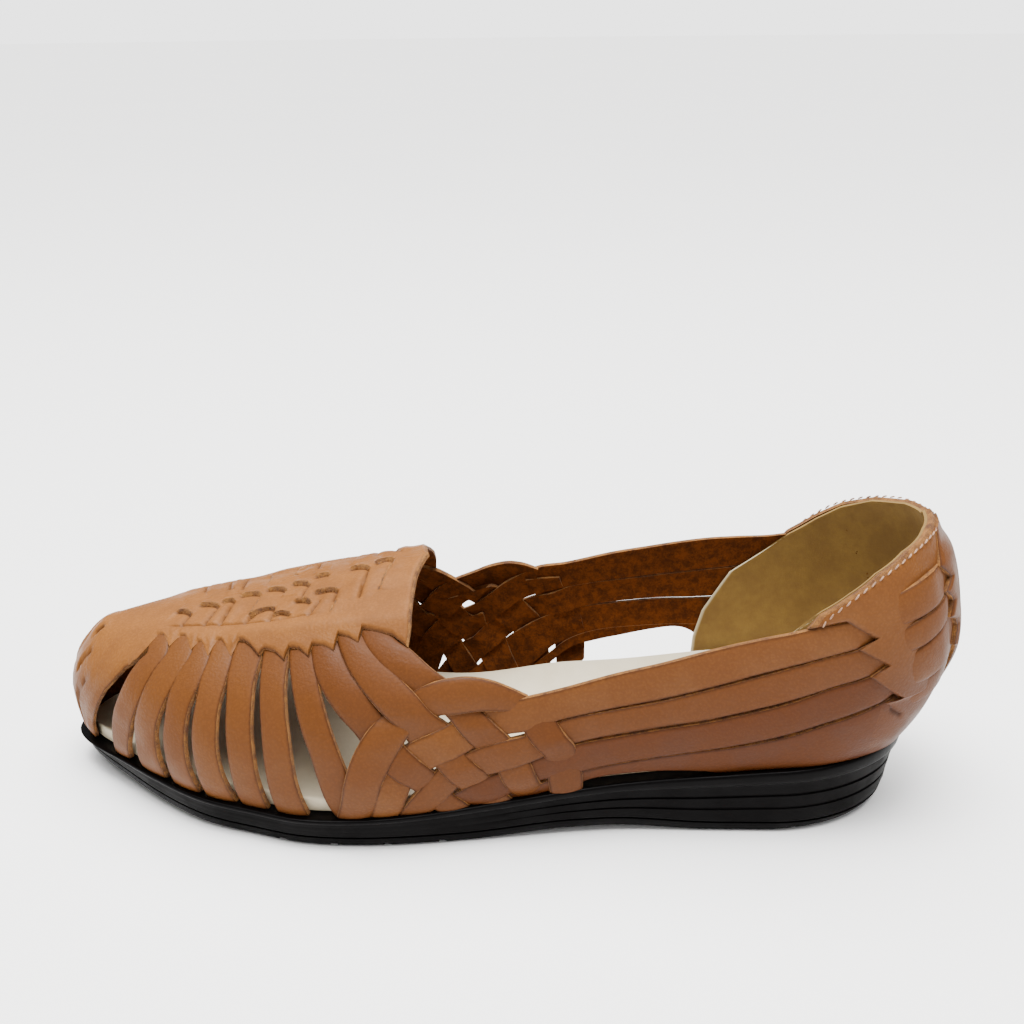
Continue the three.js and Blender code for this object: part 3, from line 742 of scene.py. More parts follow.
# the strap that rises from the sole, runs along the collar as a loop and dips behind the top strap
loopStrap = {
    "rise": [[162.8, 0, 155.0, 0, 0.3], [161.2, 0.07, 153.2, 0.06, 0.7], [159.8, 0.15, 151.6, 0.14, 1.0],
             [157.9, 0.225, 149.2, 0.205, 1.0], [155.3, 0.29, 146.2, 0.27, 1.0],
             [152.4, 0.34, 143.8, 0.315, 0.75], [148.6, 0.385, 141, 0.345, 0.1],
             [145, 42.2, 138.4, 37.4, 0], [141.6, 45.0, 135.7, 40.1, 0.45], [136.8, 47, 132.4, 40.6, 1.0],
             [132.2, 48.1, 129, 41.1, 1.15], [126.6, 48.5, 125, 41.5, 1.1], [121, 47.6, 120.4, 41.4, 0.8],
             [116, 45.6, 116, 40.6, 0.3], [111.4, 43.2, 112, 38.4, -0.1]],
    "fall": [[114.4, 40.6, 105.6, 41.0, -0.1], [112.6, 36.6, 104.6, 37.6, 0.1],
             [111, 33.4, 103.2, 34.9, 0.55], [108.8, 30.4, 101.4, 32.4, 1.0], [106.4, 27.4, 99.6, 29.8, 0.6],
             [105.8, 23.4, 98.4, 25, 0], [105.4, 19.8, 97.6, 20.8, 0.5], [105.1, 17, 97.6, 17.8, 0.9],
             [104.9, 14.2, 97.6, 15.0, 0.8]],
}

# long straps from the heel forward through the braid, lower edge then upper edge
longStraps = {
    "first": [[14, 62.5, 17.5, 69, -0.5], [20, 60.8, 23, 67.4, -0.1], [24.7, 58.9, 28.2, 65.7, 0.15],
              [30, 57.2, 33, 64.6, 0.2], [39, 54.4, 41, 62.2, 0.2], [50, 51.1, 50, 60.1, 0.2],
              [62, 47.3, 62, 56.9, 0.2], [75.5, 43.6, 75, 52.9, 0.2], [89, 40.7, 88, 49.6, 0.2],
              [103, 37.6, 103, 45.5, 0.25], [111.5, 34.9, 112, 43.6, 0.45], [117.2, 34.0, 121, 41.8, 0.3],
              [121.6, 32.6, 127.6, 39.8, 0], [126.4, 30.5, 132.4, 37.3, 0.55], [131.7, 28.2, 137.8, 35, 1.0],
              [136.8, 25.8, 143, 32.4, 0.6], [140.2, 23.3, 147, 28.6, 0], [143.2, 20.2, 150.2, 23.6, 0.55],
              [145, 16, 152.2, 17.8, 0.85], [146.4, 12.2, 153.6, 12.4, 0.6], [146.8, 11.2, 154, 11.2, 0.4]],
    "second": [[10.5, 55.6, 14, 61.6, -0.5], [16.6, 53.6, 19.6, 60, -0.1], [21.1, 51.2, 24.7, 58.0, 0.15],
               [30, 48, 31, 56.2, 0.2], [40.7, 43.9, 40.7, 52.9, 0.2], [50.5, 40.9, 50, 49.9, 0.2],
               [62, 37.9, 62, 46.2, 0.2], [75.25, 35.4, 75.5, 42.4, 0.2], [87, 33.2, 89, 39.7, 0.2],
               [97.7, 30.9, 101, 37.4, 0.2], [103.2, 28.6, 107.2, 34.6, 0], [109, 26.4, 113, 33.0, 0.5],
               [115.4, 24.6, 121.2, 31.6, 1.0], [121.6, 22.7, 128.8, 28.6, 0.6], [126, 21.2, 132.6, 26.2, 0],
               [130.8, 19.1, 136, 24.4, 0.5], [134.6, 15.4, 141, 19, 0.85], [138.3, 11.8, 145.4, 13.4, 0.6],
               [138.8, 10.9, 146.6, 11.2, 0.4]],
    "third": [[6.5, 47.6, 10, 54, -0.5], [12.6, 45.4, 15.8, 52.4, -0.1], [17.1, 43.0, 21.1, 50.2, 0.15],
              [30, 37.9, 31, 46.9, 0.2], [40.75, 33.7, 40.7, 42.6, 0.2], [50, 31.0, 50.5, 39.6, 0.2],
              [60.5, 28.7, 62, 36.6, 0.2], [75, 26.1, 75.25, 34.1, 0.2], [87, 24.0, 87, 31.9, 0.2],
              [96, 22.0, 98.2, 29.9, 0.25], [102.6, 20.6, 104.6, 27.8, 0.45], [107, 19.8, 110.4, 25.4, 0.3],
              [111.4, 18.0, 115.6, 23.4, 0], [116.6, 16.0, 121.6, 21.8, 0.5], [120.6, 14.2, 127, 19.6, 0.85],
              [124.8, 12.8, 131, 17.2, 0.6], [128, 12.2, 134, 15, 0]],
}
# the lowest strap: its rear is the same on both sides, then the inner one arches over the footbed
lowRear = [[14.8, 0, 14.8, 43.2, 0.02], [22, 0, 22, 40.0, 0.1], [30, 0, 30, 36.9, 0.1],
           [40.75, 0, 40.75, 32.6, 0.1], [50, 0, 50, 30.1, 0.1]]
lowStrap = {
    1: lowRear + [[58, 0, 58, 28.5, 0.1], [64, 0.02, 64, 27.7, 0.1], [75, 0.04, 75, 25.8, 0.1],
                  [87, 0.045, 87, 23.7, 0.1], [95, 0.035, 95, 22.0, 0.15], [101, 15.0, 101, 20.6, 0],
                  [106.2, 15.2, 106, 19.2, 0.3], [111, 14.0, 111.5, 17.0, 0.4],
                  [117.6, 13.2, 118.2, 14.6, 0.1]],
    -1: lowRear + [[56, 0.02, 57, 28.8, 0.1], [60, 0.16, 61, 28.2, 0.1], [66, 0.235, 66, 27.4, 0.1],
                   [75, 0.25, 75, 25.8, 0.1], [87, 0.235, 87, 23.7, 0.1], [95, 0.215, 95, 22.0, 0.15],
                   [101, 0.19, 102, 20.6, 0.1], [107, 0.12, 108, 18.6, 0.2], [112, 0.05, 114, 16.6, 0.2],
                   [118, 0, 120, 14.4, 0.1]],
}


# on the inner side the foremost strap is narrower towards the sole
narrow = [[x - 4.5 * level * (level < 0.65), level, *rest] for x, level, *rest in sideStraps["a"]]
# tones: higher is rosier and darker; they differ from strap to strap, and the side, braid and lowest straps
# stand high as painted shade of the shoe's sides
strapPiece("sideStraps", [
    {"rows": {1: sideStraps["a"], -1: narrow}, "tone": 0.62},
    {"rows": sideStraps["b"], "tone": 0.6}, {"rows": sideStraps["c"], "tone": 0.64},
    {"rows": sideStraps["d"], "tone": 0.6}, {"rows": sideStraps["e"], "tone": 0.64},
    {"rows": sideStraps["f"], "tone": 0.66}, {"rows": sideStraps["g"], "tone": 0.72},
])
strapPiece("braidStraps", [
    {"rows": braidStraps["h"], "tone": 0.78}, {"rows": braidStraps["i"], "tone": 0.74},
    {"rows": braidStraps["j"], "tone": 0.76, "wider": 1.0},
    {"rows": loopStrap["rise"], "tone": 0.7}, {"rows": loopStrap["fall"], "tone": 0.82},
], crown=0.68, wider=0.9)
strapPiece("longStraps", [
    {"rows": longStraps["first"], "tone": 0.6}, {"rows": longStraps["second"], "tone": 0.74},
    {"rows": longStraps["third"], "tone": 0.9},
    {"rows": lowStrap, "tone": 0.92, "thick": 1.7, "crown": 0.1, "wider": 0.0},
], wider=0.35)
print("straps ready")

# vamp: one sheet from the throat over the toe, its sides cut in teeth over the strap ends

# heights are mm off the last; toeFrom is the station where the rows start to fan round the toe
vamp = {
    "thick": 1.75, "base": 2.05, "raise": 1.65, "step": 0.5,
    "throat": 143.4, "toeFrom": 228.0, "toeRows": 43,
    "shoulder": 0.70, "sideColumns": 15, "topColumns": 124,
    "swell": 0.45, "crease": 0.45, "cut": 1.1, "throatRim": 0.9, "flat": 2.3,
}
# border of the vamp as station and share: teeth whose rear points hang over the strap tops
vampTeeth = [(143.4, 0.590), (148.1, 0.630), (153.2, 0.648), (156.2, 0.658), (157.0, 0.606), (159.6, 0.628),
             (162.8, 0.642), (163.6, 0.585), (166.4, 0.603), (169.8, 0.610), (170.6, 0.569), (173.6, 0.598),
             (176.5, 0.604), (177.4, 0.558), (180.6, 0.592), (184.0, 0.609), (185.4, 0.582), (188.6, 0.626),
             (191.0, 0.648), (192.8, 0.650), (194.3, 0.582), (196.2, 0.618), (198.2, 0.650), (199.8, 0.652),
             (201.3, 0.576), (202.7, 0.606), (204.4, 0.638), (205.6, 0.638), (207.1, 0.599), (208.5, 0.638),
             (210.3, 0.671), (212.0, 0.670), (214.4, 0.613), (215.8, 0.645), (217.6, 0.675), (219.4, 0.677)]
# stretches where the sheet flows into a strap with no step
vampSoft = [(192.8, 194.3), (199.8, 201.3), (205.6, 207.1), (212.0, 214.4), (219.4, 225.2)]
vampFront = {1: [(221.6, 0.61), (224.3, 0.545), (228.0, 0.505)],
             -1: [(221.6, 0.61), (224.3, 0.56), (228.0, 0.515)]}
vampToe = {1: [(228.0, 0.505), (229.5, 0.485), (232.7, 0.427), (236.1, 0.365), (239.0, 0.288),
               (241.5, 0.21), (243.5, 0.122), (244.0, 0.0)],
           -1: [(228.0, 0.515), (231.8, 0.46), (236.0, 0.36), (239.5, 0.26), (241.0, 0.15), (241.3, 0.0)]}
# short cuts round the toe, as turn and share along each
longCut = [(0.885, 0.425), (0.897, 0.378), (0.911, 0.307), (0.922, 0.23), (0.926, 0.16), (0.924, 0.08),
           (0.918, 0.0)]
toeCuts = [longCut, [(0.916, 0.55), (0.924, 0.503), (0.930, 0.445)], [(0.936, 0.758), (0.946, 0.68)],
           [(-turn, share) for turn, share in longCut],
           [(-0.914, 0.56), (-0.926, 0.51), (-0.934, 0.45)], [(-0.934, 0.75), (-0.944, 0.67)]]
throatLine = {"share": [0.55, 0.590, 0.647, 0.718, 0.795, 0.88, 0.98, 1.0],
              "x": [143.6, 143.4, 142.9, 143.1, 143.4, 143.2, 141.7, 141.2]}
# slits on the top, from and to as (x, y): a strap dives under the sheet on the side away from the middle
vampSlits = [(216.3, 1.1, 211.4, 4.1), (209.6, -0.2, 203.4, 2.7), (202.4, 0.6, 199.0, 1.2),
             (197.5, -1.6, 191.0, 0.5), (189.2, -1.6, 182.6, 2.7), (181.2, -0.5, 175.9, 3.0),
             (174.6, -0.9, 170.6, -0.7), (163.9, -0.3, 158.3, 2.5), (156.6, 0.0, 151.3, 0.0),
             (191.6, 11.4, 184.7, 10.6), (178.0, 10.6, 173.1, 13.2), (172.4, 9.3, 166.0, 10.7),
             (183.4, 14.4, 178.4, 16.0)]
# cut edges seen on the top, from and to as (x, y)
vampEdges = [(151.5, 0.4, 153.3, 14.8), (165.2, 15.2, 166.3, 20.2), (190.6, 3.2, 191.8, 10.9),
             (182.5, 3.2, 183.5, 5.9)]
# fine creases along the strap sides, from and to as (x, y)
vampCreases = [(211.5, 4.4, 213.4, 13.5), (203.3, 3.0, 205.8, 14.2), (198.9, 1.6, 200.3, 14.6),
               (190.6, 11.0, 192.6, 16.4), (184.6, 10.8, 184.5, 16.8), (175.8, 3.2, 176.6, 10.4),
               (170.8, 13.4, 172.6, 19.6), (166.0, 10.9, 166.4, 15.0), (158.3, 2.8, 158.9, 16.2),
               (151.3, 0.4, 152.0, 6.0)]


# heights and widths in mm: a slit's dip and lip, the width of the painted shadow under its lip, a cut edge's
# two sides, a crease and the swell beside it
weave = {"middle": -2.6, "shift": 1.3, "bow": 0.7, "dip": -0.8, "lip": 0.65, "slitReach": 2.8,
         "slitShadow": 0.38, "edgeUp": 0.55, "edgeDown": -0.35, "crease": 0.8, "beside": 0.36}


# share along a line from (ax, ay) to (bx, by), distance across it, and a window that closes at its ends
def nearLine(x, y, line, ease):
    ax, ay, bx, by = line
    long = math.hypot(bx - ax, by - ay)
    ux, uy = (bx - ax) / long, (by - ay) / long
    s = (x - ax) * ux + (y - ay) * uy
    d = (x - ax) * -uy + (y - ay) * ux
    return s / long, d, smooth(-ease, ease * 0.6, s) * fade(long - ease * 0.6, long + ease, s)


# a step across a line: one height just past it and another just before it, both dying away
def stepAcross(d, ease, past, pastReach, before, beforeReach):
    share = smooth(-ease, ease, d)
    far, near = np.exp(-np.maximum(d, 0) / pastReach), np.exp(np.minimum(d, 0) / beforeReach)
    return share * past * far + (1 - share) * before * near


# woven top: each slit dips on the strap's side and rises as a lip on the sheet's side; dark is painted shadow
# under each lip and painted shade in the creases
def vampRelief(x, y):
    look = weave
    height, dark, raw = np.zeros_like(x), np.zeros_like(x), np.zeros_like(x)
    for mirrored in (False, True):
        v = 2 * look["middle"] - y if mirrored else y
        here = (v > look["middle"]).astype(float)
        for number, (ax, ay, bx, by) in enumerate(vampSlits):
            back = look["shift"] * math.sin(number * 1.7) if mirrored else 0
            s, d, window = nearLine(x, v, (ax - back, ay, bx - back, by), 0.9)
            window = window * here
            d = look["bow"] * np.sin(np.clip(s, 0, 1) * np.pi) - d  # the strap lies where y grows
            reach = look["slitReach"]
            height += window * stepAcross(d, 0.3, look["dip"], reach, look["lip"], reach)
            # painted shadow under the sheet's lip, on the strap's side
            dark = np.maximum(dark, window * bell(d, 0.5, look["slitShadow"]))
            raw = np.maximum(raw, window * (np.abs(d + 0.15) < 0.42))
        for line in vampEdges:
            d, window = nearLine(x, v, line, 0.5)[1:]
            height += here * window * stepAcross(d, 0.5, look["edgeUp"], 4.0, look["edgeDown"], 1.5)
            raw = np.maximum(raw, here * window * (np.abs(d) < 0.75))
        for line in vampCreases:
            d, window = nearLine(x, v, line, 1.0)[1:]
            beside = look["beside"] * bell(np.abs(d), 2.2, 1.6)
            height += here * window * (beside - look["crease"] * bell(d, 0, 0.5))
            # painted shade in the crease
            dark = np.maximum(dark, here * window * 0.7 * bell(d, 0, 0.38))
    return height, dark, raw


# share of one side's border: by the teeth along the stations, then where a toe row meets the toe's outline
def vampBorder(side, stations, steps):
    teethX, teethShare = zip(*(vampTeeth + vampFront[side]))
    toeX, toeShare = (np.array(v) for v in zip(*vampToe[side]))
    t = np.linspace(toeShare[0], 0, 160)
    edgeX = np.interp(-t, -toeShare, toeX)
    start = turnAt(side, vamp["toeFrom"], t)
    turn = start + (side - start) * steps[:, None]
    reached = surface(turn, np.broadcast_to(t, turn.shape))[..., 0] >= edgeX
    lowest = np.where(reached.any(1), len(t) - 1 - np.argmax(reached[:, ::-1], axis=1), 0)
    return np.concatenate([np.interp(stations, teethX, teethShare), t[lowest]])


# grid of the vamp: rows are stations up to toeFrom and then steps towards the tip, columns go over the top
def vampGrid():
    look = vamp
    marked = [x for x, share in vampTeeth + vampFront[1]]
    stations = np.unique(np.concatenate([np.arange(look["throat"], look["toeFrom"], look["step"]), marked]))
    stations = stations[np.concatenate([[True], np.diff(stations) > 0.12])]
    steps = np.linspace(0, 1, look["toeRows"] + 1)[1:] ** 1.25
    low, high = (vampBorder(side, stations, steps)[:, None] for side in (1, -1))
    # share across one row: a fan from the border to the shoulder, then evenly over the top
    shoulder = look["shoulder"]
    fan = np.linspace(0, 1, look["sideColumns"]) ** 0.8
    top = np.linspace(shoulder, 2 - shoulder, look["topColumns"])
    left = low + (shoulder - low) * fan[:-1]
    right = 2 - (high + (shoulder - high) * fan[::-1][1:])
    share = np.concatenate([left, np.broadcast_to(top, (len(low), len(top))), right], 1)
    # towards the tip both halves take the same shares, so that the last row folds shut on itself
    toeward = np.concatenate([0 * stations, steps])[:, None]
    share = share + (2 - share[:, ::-1] - share) / 2 * smooth(0.5, 1.0, toeward)
    own = np.where(share <= 1, share, 2 - share)
    rowX = np.concatenate([stations, 0 * steps + look["toeFrom"]])
    throat = along(throatLine["share"], throatLine["x"], own) - look["throat"]
    x = rowX[:, None] + throat * fade(look["throat"], 152.0, rowX)[:, None]
    turn = np.where(share <= 1, turnAt(1, x, own), -turnAt(-1, x, own))
    turn = turn + (1 - turn) * toeward
    # each tooth's step fades towards its point, and stays flat as far as the next notch; the toe has no teeth
    soft = [smooth(low - 0.1, low + 0.5, rowX) * fade(high + 0.2, high + 3.0, rowX) for low, high in vampSoft]
    flowing = np.max(soft, axis=0) * (toeward[:, 0] == 0)
    return turn, share, own, flowing[:, None]


# distance from the nearest of the short cuts round the toe
def fromToeCuts(flat):
    nearest = np.full(flat.shape[:2], 99.0)
    for path in toeCuts:
        a, t = (np.interp(np.linspace(0, 1, 12), np.linspace(0, 1, len(path)), v) for v in zip(*path))
        line = surface(a, t)
        for here, ahead in zip(line[:-1], line[1:]):
            way = ahead - here
            s = np.clip(((flat - here) @ way) / (way @ way), 0, 1)
            nearest = np.minimum(nearest, np.linalg.norm(flat - here - s[..., None] * way, axis=2))
    return nearest


# height over the last: base, the raise at the sides, the weave's relief and the swell, less the crease, the
# toe cuts and a thinner cut edge; the inner wall lies a thickness below what isn't relief
def makeVamp():
    look = vamp
    turn, share, own, flowing = vampGrid()
    flat = surface(*unfold(turn, share))
    x = flat[..., 0]
    gone = np.cumsum(np.linalg.norm(np.diff(flat, axis=1), axis=2), 1)
    fromLeft = np.concatenate([np.zeros((len(flat), 1)), gone], 1)
    fromThroat = np.linalg.norm(flat - flat[:1], axis=2)
    edge = np.minimum(np.minimum(fromLeft, fromLeft[:, -1:] - fromLeft), fromThroat)
    relief, dark, raw = vampRelief(x, flat[..., 1])
    calm = smooth(0.71, 0.76, own) * fade(218, 224, x)
    crease = bell(own, 0.735, 0.006) * smooth(168, 174, x) * fade(214, 219, x)
    cuts = fromToeCuts(flat)
    # the sides stand higher, over the straps, and sink to the last at the toe
    over = fade(0.66, 0.83, own) * fade(217, 226, x) * (1 - 0.5 * smooth(188, 200, x))
    ground = look["base"] + look["raise"] * over
    thinned = look["thick"] * fade(0.0, 1.1, edge) * 0.45
    # the border swells between the plaid's crease and the teeth
    swell = look["swell"] * bell(own, 0.685, 0.028) * fade(186, 200, x)
    outer = ground + relief * calm + swell - look["crease"] * crease - thinned
    blend = flowing * fade(0.3, 4.5, edge)
    outer = outer * (1 - blend) + blend * look["flat"]
    outer = outer - look["cut"] * bell(cuts, 0, 0.45) + 0.25 * bell(cuts, 1.6, 1.0)
    inner = np.minimum(np.maximum(ground - look["thick"] - 0.02, 0.12), outer - 0.5)
    # painted shade under the slits' lips, in the creases, in the plaid's crease and in the toe cuts, carried
    # as the mark
    paintedShade = np.clip(dark * calm + 0.2 * crease + bell(cuts, 0, 0.5), 0, 1)
    # tone: lighter over the top and darker down the sides, as painted shade; darker still along the teeth
    # behind the toe, as painted shade and burnish
    tone = 0.06 + 0.42 * fade(0.30, 0.66, own) + 0.22 * fade(0.62, 0.70, own) * fade(206, 216, x)
    raw = np.maximum(raw * calm, fromThroat < look["throatRim"])
    leatherWall("vampSheet", turn, share, outer, inner, tone, np.where(blend > 0.05, 9.0, edge), paintedShade, raw,
                shut=True, angle=48, weld=0.00002)


makeVamp()
print("vamp ready")

# heel: a counter panel round the back, back straps woven over it, a column up the middle, and the lining

heel = {
    "thick": 1.6, "base": 2.15, "lap": 0.95, "rows": 90, "columns": 181,
    "fourthNotch": (17.1, 42.1, 11.2, 36.6), "notchDepth": 0.7, "collarRaw": 1.9,
    "liningRows": 46, "liningColumns": 121, "liningThick": 0.85, "liningRim": 0.9,
    "columnHigh": 1.7, "columnThick": 2.4,
}
# front border of the counter as share of the way up, x and z; the back's height at the same share
counterBorder = {"way": [0, 0.20, 0.38, 0.425, 0.53, 0.575, 0.70, 0.745, 0.88, 1.0],
                 "x": [18.5, 18.5, 17.1, 12.6, 21.1, 16.8, 24.7, 19.9, 28.0, 37.7],
                 "z": [22.6, 31.0, 42.1, 43.3, 50.7, 53.5, 58.4, 60.6, 65.9, 63.4],
                 "back": [22.6, 32.0, 43.0, 46.0, 53.0, 56.0, 64.0, 67.0, 76.0, 84.7]}
liningBorder = {"way": [0, 0.25, 0.5, 0.75, 1.0],
                "x": [63.2, 62.6, 60.0, 52.0, 36.5],
                "z": [24.8, 31.0, 40.0, 54.0, 66.0],
                "back": [26.0, 40.0, 55.0, 70.0, 84.7]}
collarLine = {"turn": [0, 0.070, 0.096, 0.140, 0.190, 0.225, 0.258, 0.27, 0.30],
              "share": [0.745, 0.738, 0.730, 0.718, 0.688, 0.652, 0.610, 0.573, 0.45]}


# patch between the middle of the back and a border on each side: rows climb, columns go from side to side
def heelPatch(border, rows, columns):
    way = np.unique(np.concatenate([np.linspace(0, 1, rows), border["way"]]))
    way = way[np.concatenate([[True], np.diff(way) > 0.004])]
    way[-1] = 1.0
    centre = shareAt(1.0, np.zeros_like(way), np.interp(way, border["way"], border["back"]))
    x, z = (np.interp(way, border["way"], border[key]) for key in ("x", "z"))
    w = 1 - (1 - np.linspace(0, 1, columns // 2 + 1)) ** 1.15
    halves = []
    for side in (-1, 1):
        ahead = np.maximum(shareAt(float(side), x, z), 0)
        reach = np.abs(turnAt(side, x, ahead))
        if border is counterBorder:
            ahead[0] = 0.0
        share = centre[:, None] * (1 - w) + ahead[:, None] * w
        missing = np.interp(reach[-1] * w, collarLine["turn"], collarLine["share"]) - share[-1]
        share = share + missing * smooth(0.35, 1.0, way)[:, None]
        halves.append((side * reach[:, None] * w, np.clip(share, 0, None)))
    turn, share = (np.concatenate([left[:, ::-1], right[:, 1:]], 1) for left, right in zip(*halves))
    return turn, share, way[:, None], np.concatenate([w[::-1], w[1:]])


# height over the last: base and, above the notches, a lap that grows towards the border; thinner at cut edges
def makeCounter():
    turn, share, way, aside = heelPatch(counterBorder, heel["rows"], heel["columns"])
    flat = surface(turn, share)
    toBorder = toSides(flat)
    toCollar = np.linalg.norm(flat - flat[-1:], axis=2)
    notched = smooth(0.36, 0.42, way)
    outer = heel["base"] + heel["lap"] * smooth(0.45, 0.85, aside) * notched
    outer = outer - 0.75 * fade(0.0, 1.0, toBorder) * notched - 0.2 * (1 - notched) * smooth(0.6, 1, aside)
    outer = outer - 0.25 * fade(1.5, 2.3, toCollar) - 0.45 * fade(0.0, 1.2, toCollar)
    inner = np.maximum(outer - heel["thick"], 0.1)
    edge = np.minimum(np.where(notched > 0.5, toBorder, 9.0), toCollar)
    # the fourth notch is only a short groove, darkened as painted shade through the mark
    d, window = nearLine(flat[..., 0], flat[..., 2], heel["fourthNotch"], 0.9)[1:]
    groove = window * bell(d, 0, 0.5)
    # tone: darker low on the heel and lighter towards the collar, as painted shade
    tone = 0.86 - 0.36 * smooth(0.2, 0.7, share)
    leatherWall("counterPanel", turn, share, outer - heel["notchDepth"] * groove, inner, tone, edge,
                np.clip(groove, 0, 1), toCollar < heel["collarRaw"])


# the lining lies inside the counter; its rim is thinner and pale, with a faint groove 3 mm from it
def makeLining():
    turn, share = heelPatch(liningBorder, heel["liningRows"], heel["liningColumns"])[:2]
    toBorder = toSides(surface(turn, share))
    outer = np.full(turn.shape, 0.06)
    inner = outer - heel["liningThick"] + 0.3 * fade(0, 1.0, toBorder) + 0.12 * bell(toBorder, 3.0, 0.35)
    points, faces = wallOver(turn, share, outer, inner)
    batch = newBatch()
    rim = fade(0.5, heel["liningRim"], toBorder)
    addSolid(batch, points, faces, [0, 0, 0], 9.0, 0.5, np.tile(rim.ravel(), 2))
    finishBatch(batch, "heelLining", [heelCloth], "upper", angle=50)


# back straps: from under the counter's rear tooth to under the column
backStraps = [
    [[18.6, 71.6, 16.6, 63.4, -0.25], [15.6, 72.4, 14.2, 64.2, 0.6], [11.0, 74.0, 9.0, 65.6, 1.0],
     [7.0, 75.2, 5.2, 66.8, 1.0], [4.0, 75.8, 2.2, 67.6, 0.45], [2.0, 76.2, 0.4, 68.0, -0.2]],
    [[16.6, 62.2, 14.4, 56.0, -0.25], [13.4, 63.2, 11.6, 56.6, 0.6], [9.6, 64.8, 7.6, 57.8, 0.95],
     [5.4, 66.2, 3.4, 59.8, 0.95], [1.8, 67.5, 0.9, 61.3, 0.6], [0.0, 67.9, -1.2, 61.9, -0.2]],
    [[13.6, 54.8, 12.2, 45.8, -0.25], [10.3, 56.2, 9.2, 46.7, 0.6], [6.8, 58.0, 5.4, 47.8, 0.95],
     [3.4, 59.8, 1.6, 49.0, 0.9], [0.6, 61.1, -1.6, 50.3, 0.3], [-1.2, 61.6, -3.2, 51.0, -0.2]],
    [[11.2, 44.9, 9.6, 38.2, -0.3], [8.6, 46.0, 7.0, 39.2, 0.2], [5.0, 47.2, 3.4, 40.4, 0.45],
     [1.4, 48.2, 0.4, 41.8, 0.4], [-2.0, 49.0, -1.0, 43.0, 0.15], [-3.6, 49.6, -2.6, 43.8, -0.3]],
]
# half width of the column, as a turn, over the height: its teeth point to the back straps
backColumn = {"z": [22.6, 40.0, 48.4, 50.2, 52.0, 57.2, 59.4, 61.5, 65.1, 66.6, 69.2, 71.5, 73.0, 76.0,
                    78.5, 84.0],
              "turn": [0.060, 0.050, 0.048, 0.052, 0.070, 0.063, 0.070, 0.091,
                       0.075, 0.080, 0.096, 0.073, 0.080, 0.097, 0.085, 0.060]}


def makeBackStraps():
    straps = [{"rows": rows, "tone": 0.62 + 0.05 * number} for number, rows in enumerate(backStraps)]
    strapPiece("backStraps", straps, thick=1.8, crown=0.4, wider=0.2)


# a band up the middle of the back, as wide as its table says; it stands high from the notches to the collar
def makeBackColumn():
    low, top = backColumn["z"][0], backColumn["z"][-1]
    z = np.unique(np.concatenate([np.linspace(low, top, 90), backColumn["z"]]))
    w = np.linspace(-1, 1, 41)
    turn = np.interp(z, backColumn["z"], backColumn["turn"])[:, None] * w
    share = np.maximum(shareAt(1.0, np.zeros_like(z), z)[:, None] - 0.004 * w**2, 0)
    toSide = toSides(surface(turn, share))
    high = (smooth(34.0, 50.0, z) * (1 - 0.75 * smooth(75.0, 81.0, z)))[:, None]
    outer = 2.2 + heel["columnHigh"] * high - (0.6 * high + 0.1) * fade(0, 1.3, toSide)
    inner = np.maximum(outer - heel["columnThick"], 0.12)
    leatherWall("backColumn", turn, share, outer, inner, 0.72, np.where(high > 0.2, toSide, 9.0), 0.0, 0.0)


# stitches follow the collar through x and z; along, fat and dive shape one stitch from end to end
stitch = {
    "pitch": 2.7, "long": 1.9, "radius": 0.26, "slant": 0.25, "above": 0.08,
    "x": [34.6, 31.2, 24.4, 18.5, 12.7, 8.8, 5.2, 1.5],
    "z": [64.6, 68.4, 74.0, 77.7, 80.5, 82.0, 83.0, 83.4],
    "along": [-1, -0.86, -0.4, 0.4, 0.86, 1], "fat": [0.15, 0.62, 1, 1, 0.62, 0.15],
    "dive": [-0.8, -0.24, 0.08, 0.08, -0.24, -0.8],
}


# short capsules along a line on the leather: rings of six points about the thread, diving in at both ends
def stitchRow(batch, turn, share, offset, slant):
    look = stitch
    line = skin(turn, share, offset)
    gone = lengthAlong(line)
    count = int(gone[-1] / look["pitch"])
    middle = (np.arange(count) + 0.5) * gone[-1] / count

    def onLine(place):
        return np.stack([np.interp(place, gone, line[:, k]) for k in range(3)], -1)

    centres = onLine(middle)
    ahead = onLine(middle + 0.3) - centres
    ahead /= np.linalg.norm(ahead, axis=1, keepdims=True)
    up = outward(np.interp(middle, gone, turn), np.interp(middle, gone, share))
    ahead = ahead + np.cross(up, ahead) * slant
    ahead /= np.linalg.norm(ahead, axis=1, keepdims=True)
    cross = np.cross(up, ahead)
    s, fat, dive = (np.array(look[key]) for key in ("along", "fat", "dive"))
    s, fat, dive = s * look["long"] / 2, fat[:, None] * look["radius"], dive[:, None] * look["radius"]
    a = np.linspace(0, 2 * np.pi, 7)[:-1]
    ring = (ahead[:, None, None] * s[None, :, None, None]
            + cross[:, None, None] * (fat * np.cos(a))[None, :, :, None]
            + up[:, None, None] * (fat * np.sin(a) + dive)[None, :, :, None])
    points = (centres[:, None, None] + ring).reshape(count, -1, 3)
    for solid in points:
        addSolid(batch, solid, outwardFaces(solid, tubeFaces(len(s), len(a))), [0, 0], 9.0)


def makeStitches():
    batch = newBatch()
    x, z = np.array(stitch["x"]), np.array(stitch["z"])
    for side in (1, -1):
        share = shareAt(float(side), x, z)
        fine = np.linspace(0, len(x) - 1, 60)
        turn, share = (along(np.arange(len(x)), v, fine) for v in (turnAt(side, x, share), share))
        lap = heel["lap"] * smooth(0.45, 0.85, np.abs(turn) / collarLine["turn"][7])
        stitchRow(batch, turn, share, heel["base"] + lap + stitch["above"], stitch["slant"] * side)
    finishBatch(batch, "collarStitches", [sewingThread], angle=60)


makeCounter()
makeLining()
makeBackStraps()
makeBackColumn()
makeStitches()
print("heel ready")

# sole and footbed: rings round the plan, each a grown outline at its own height

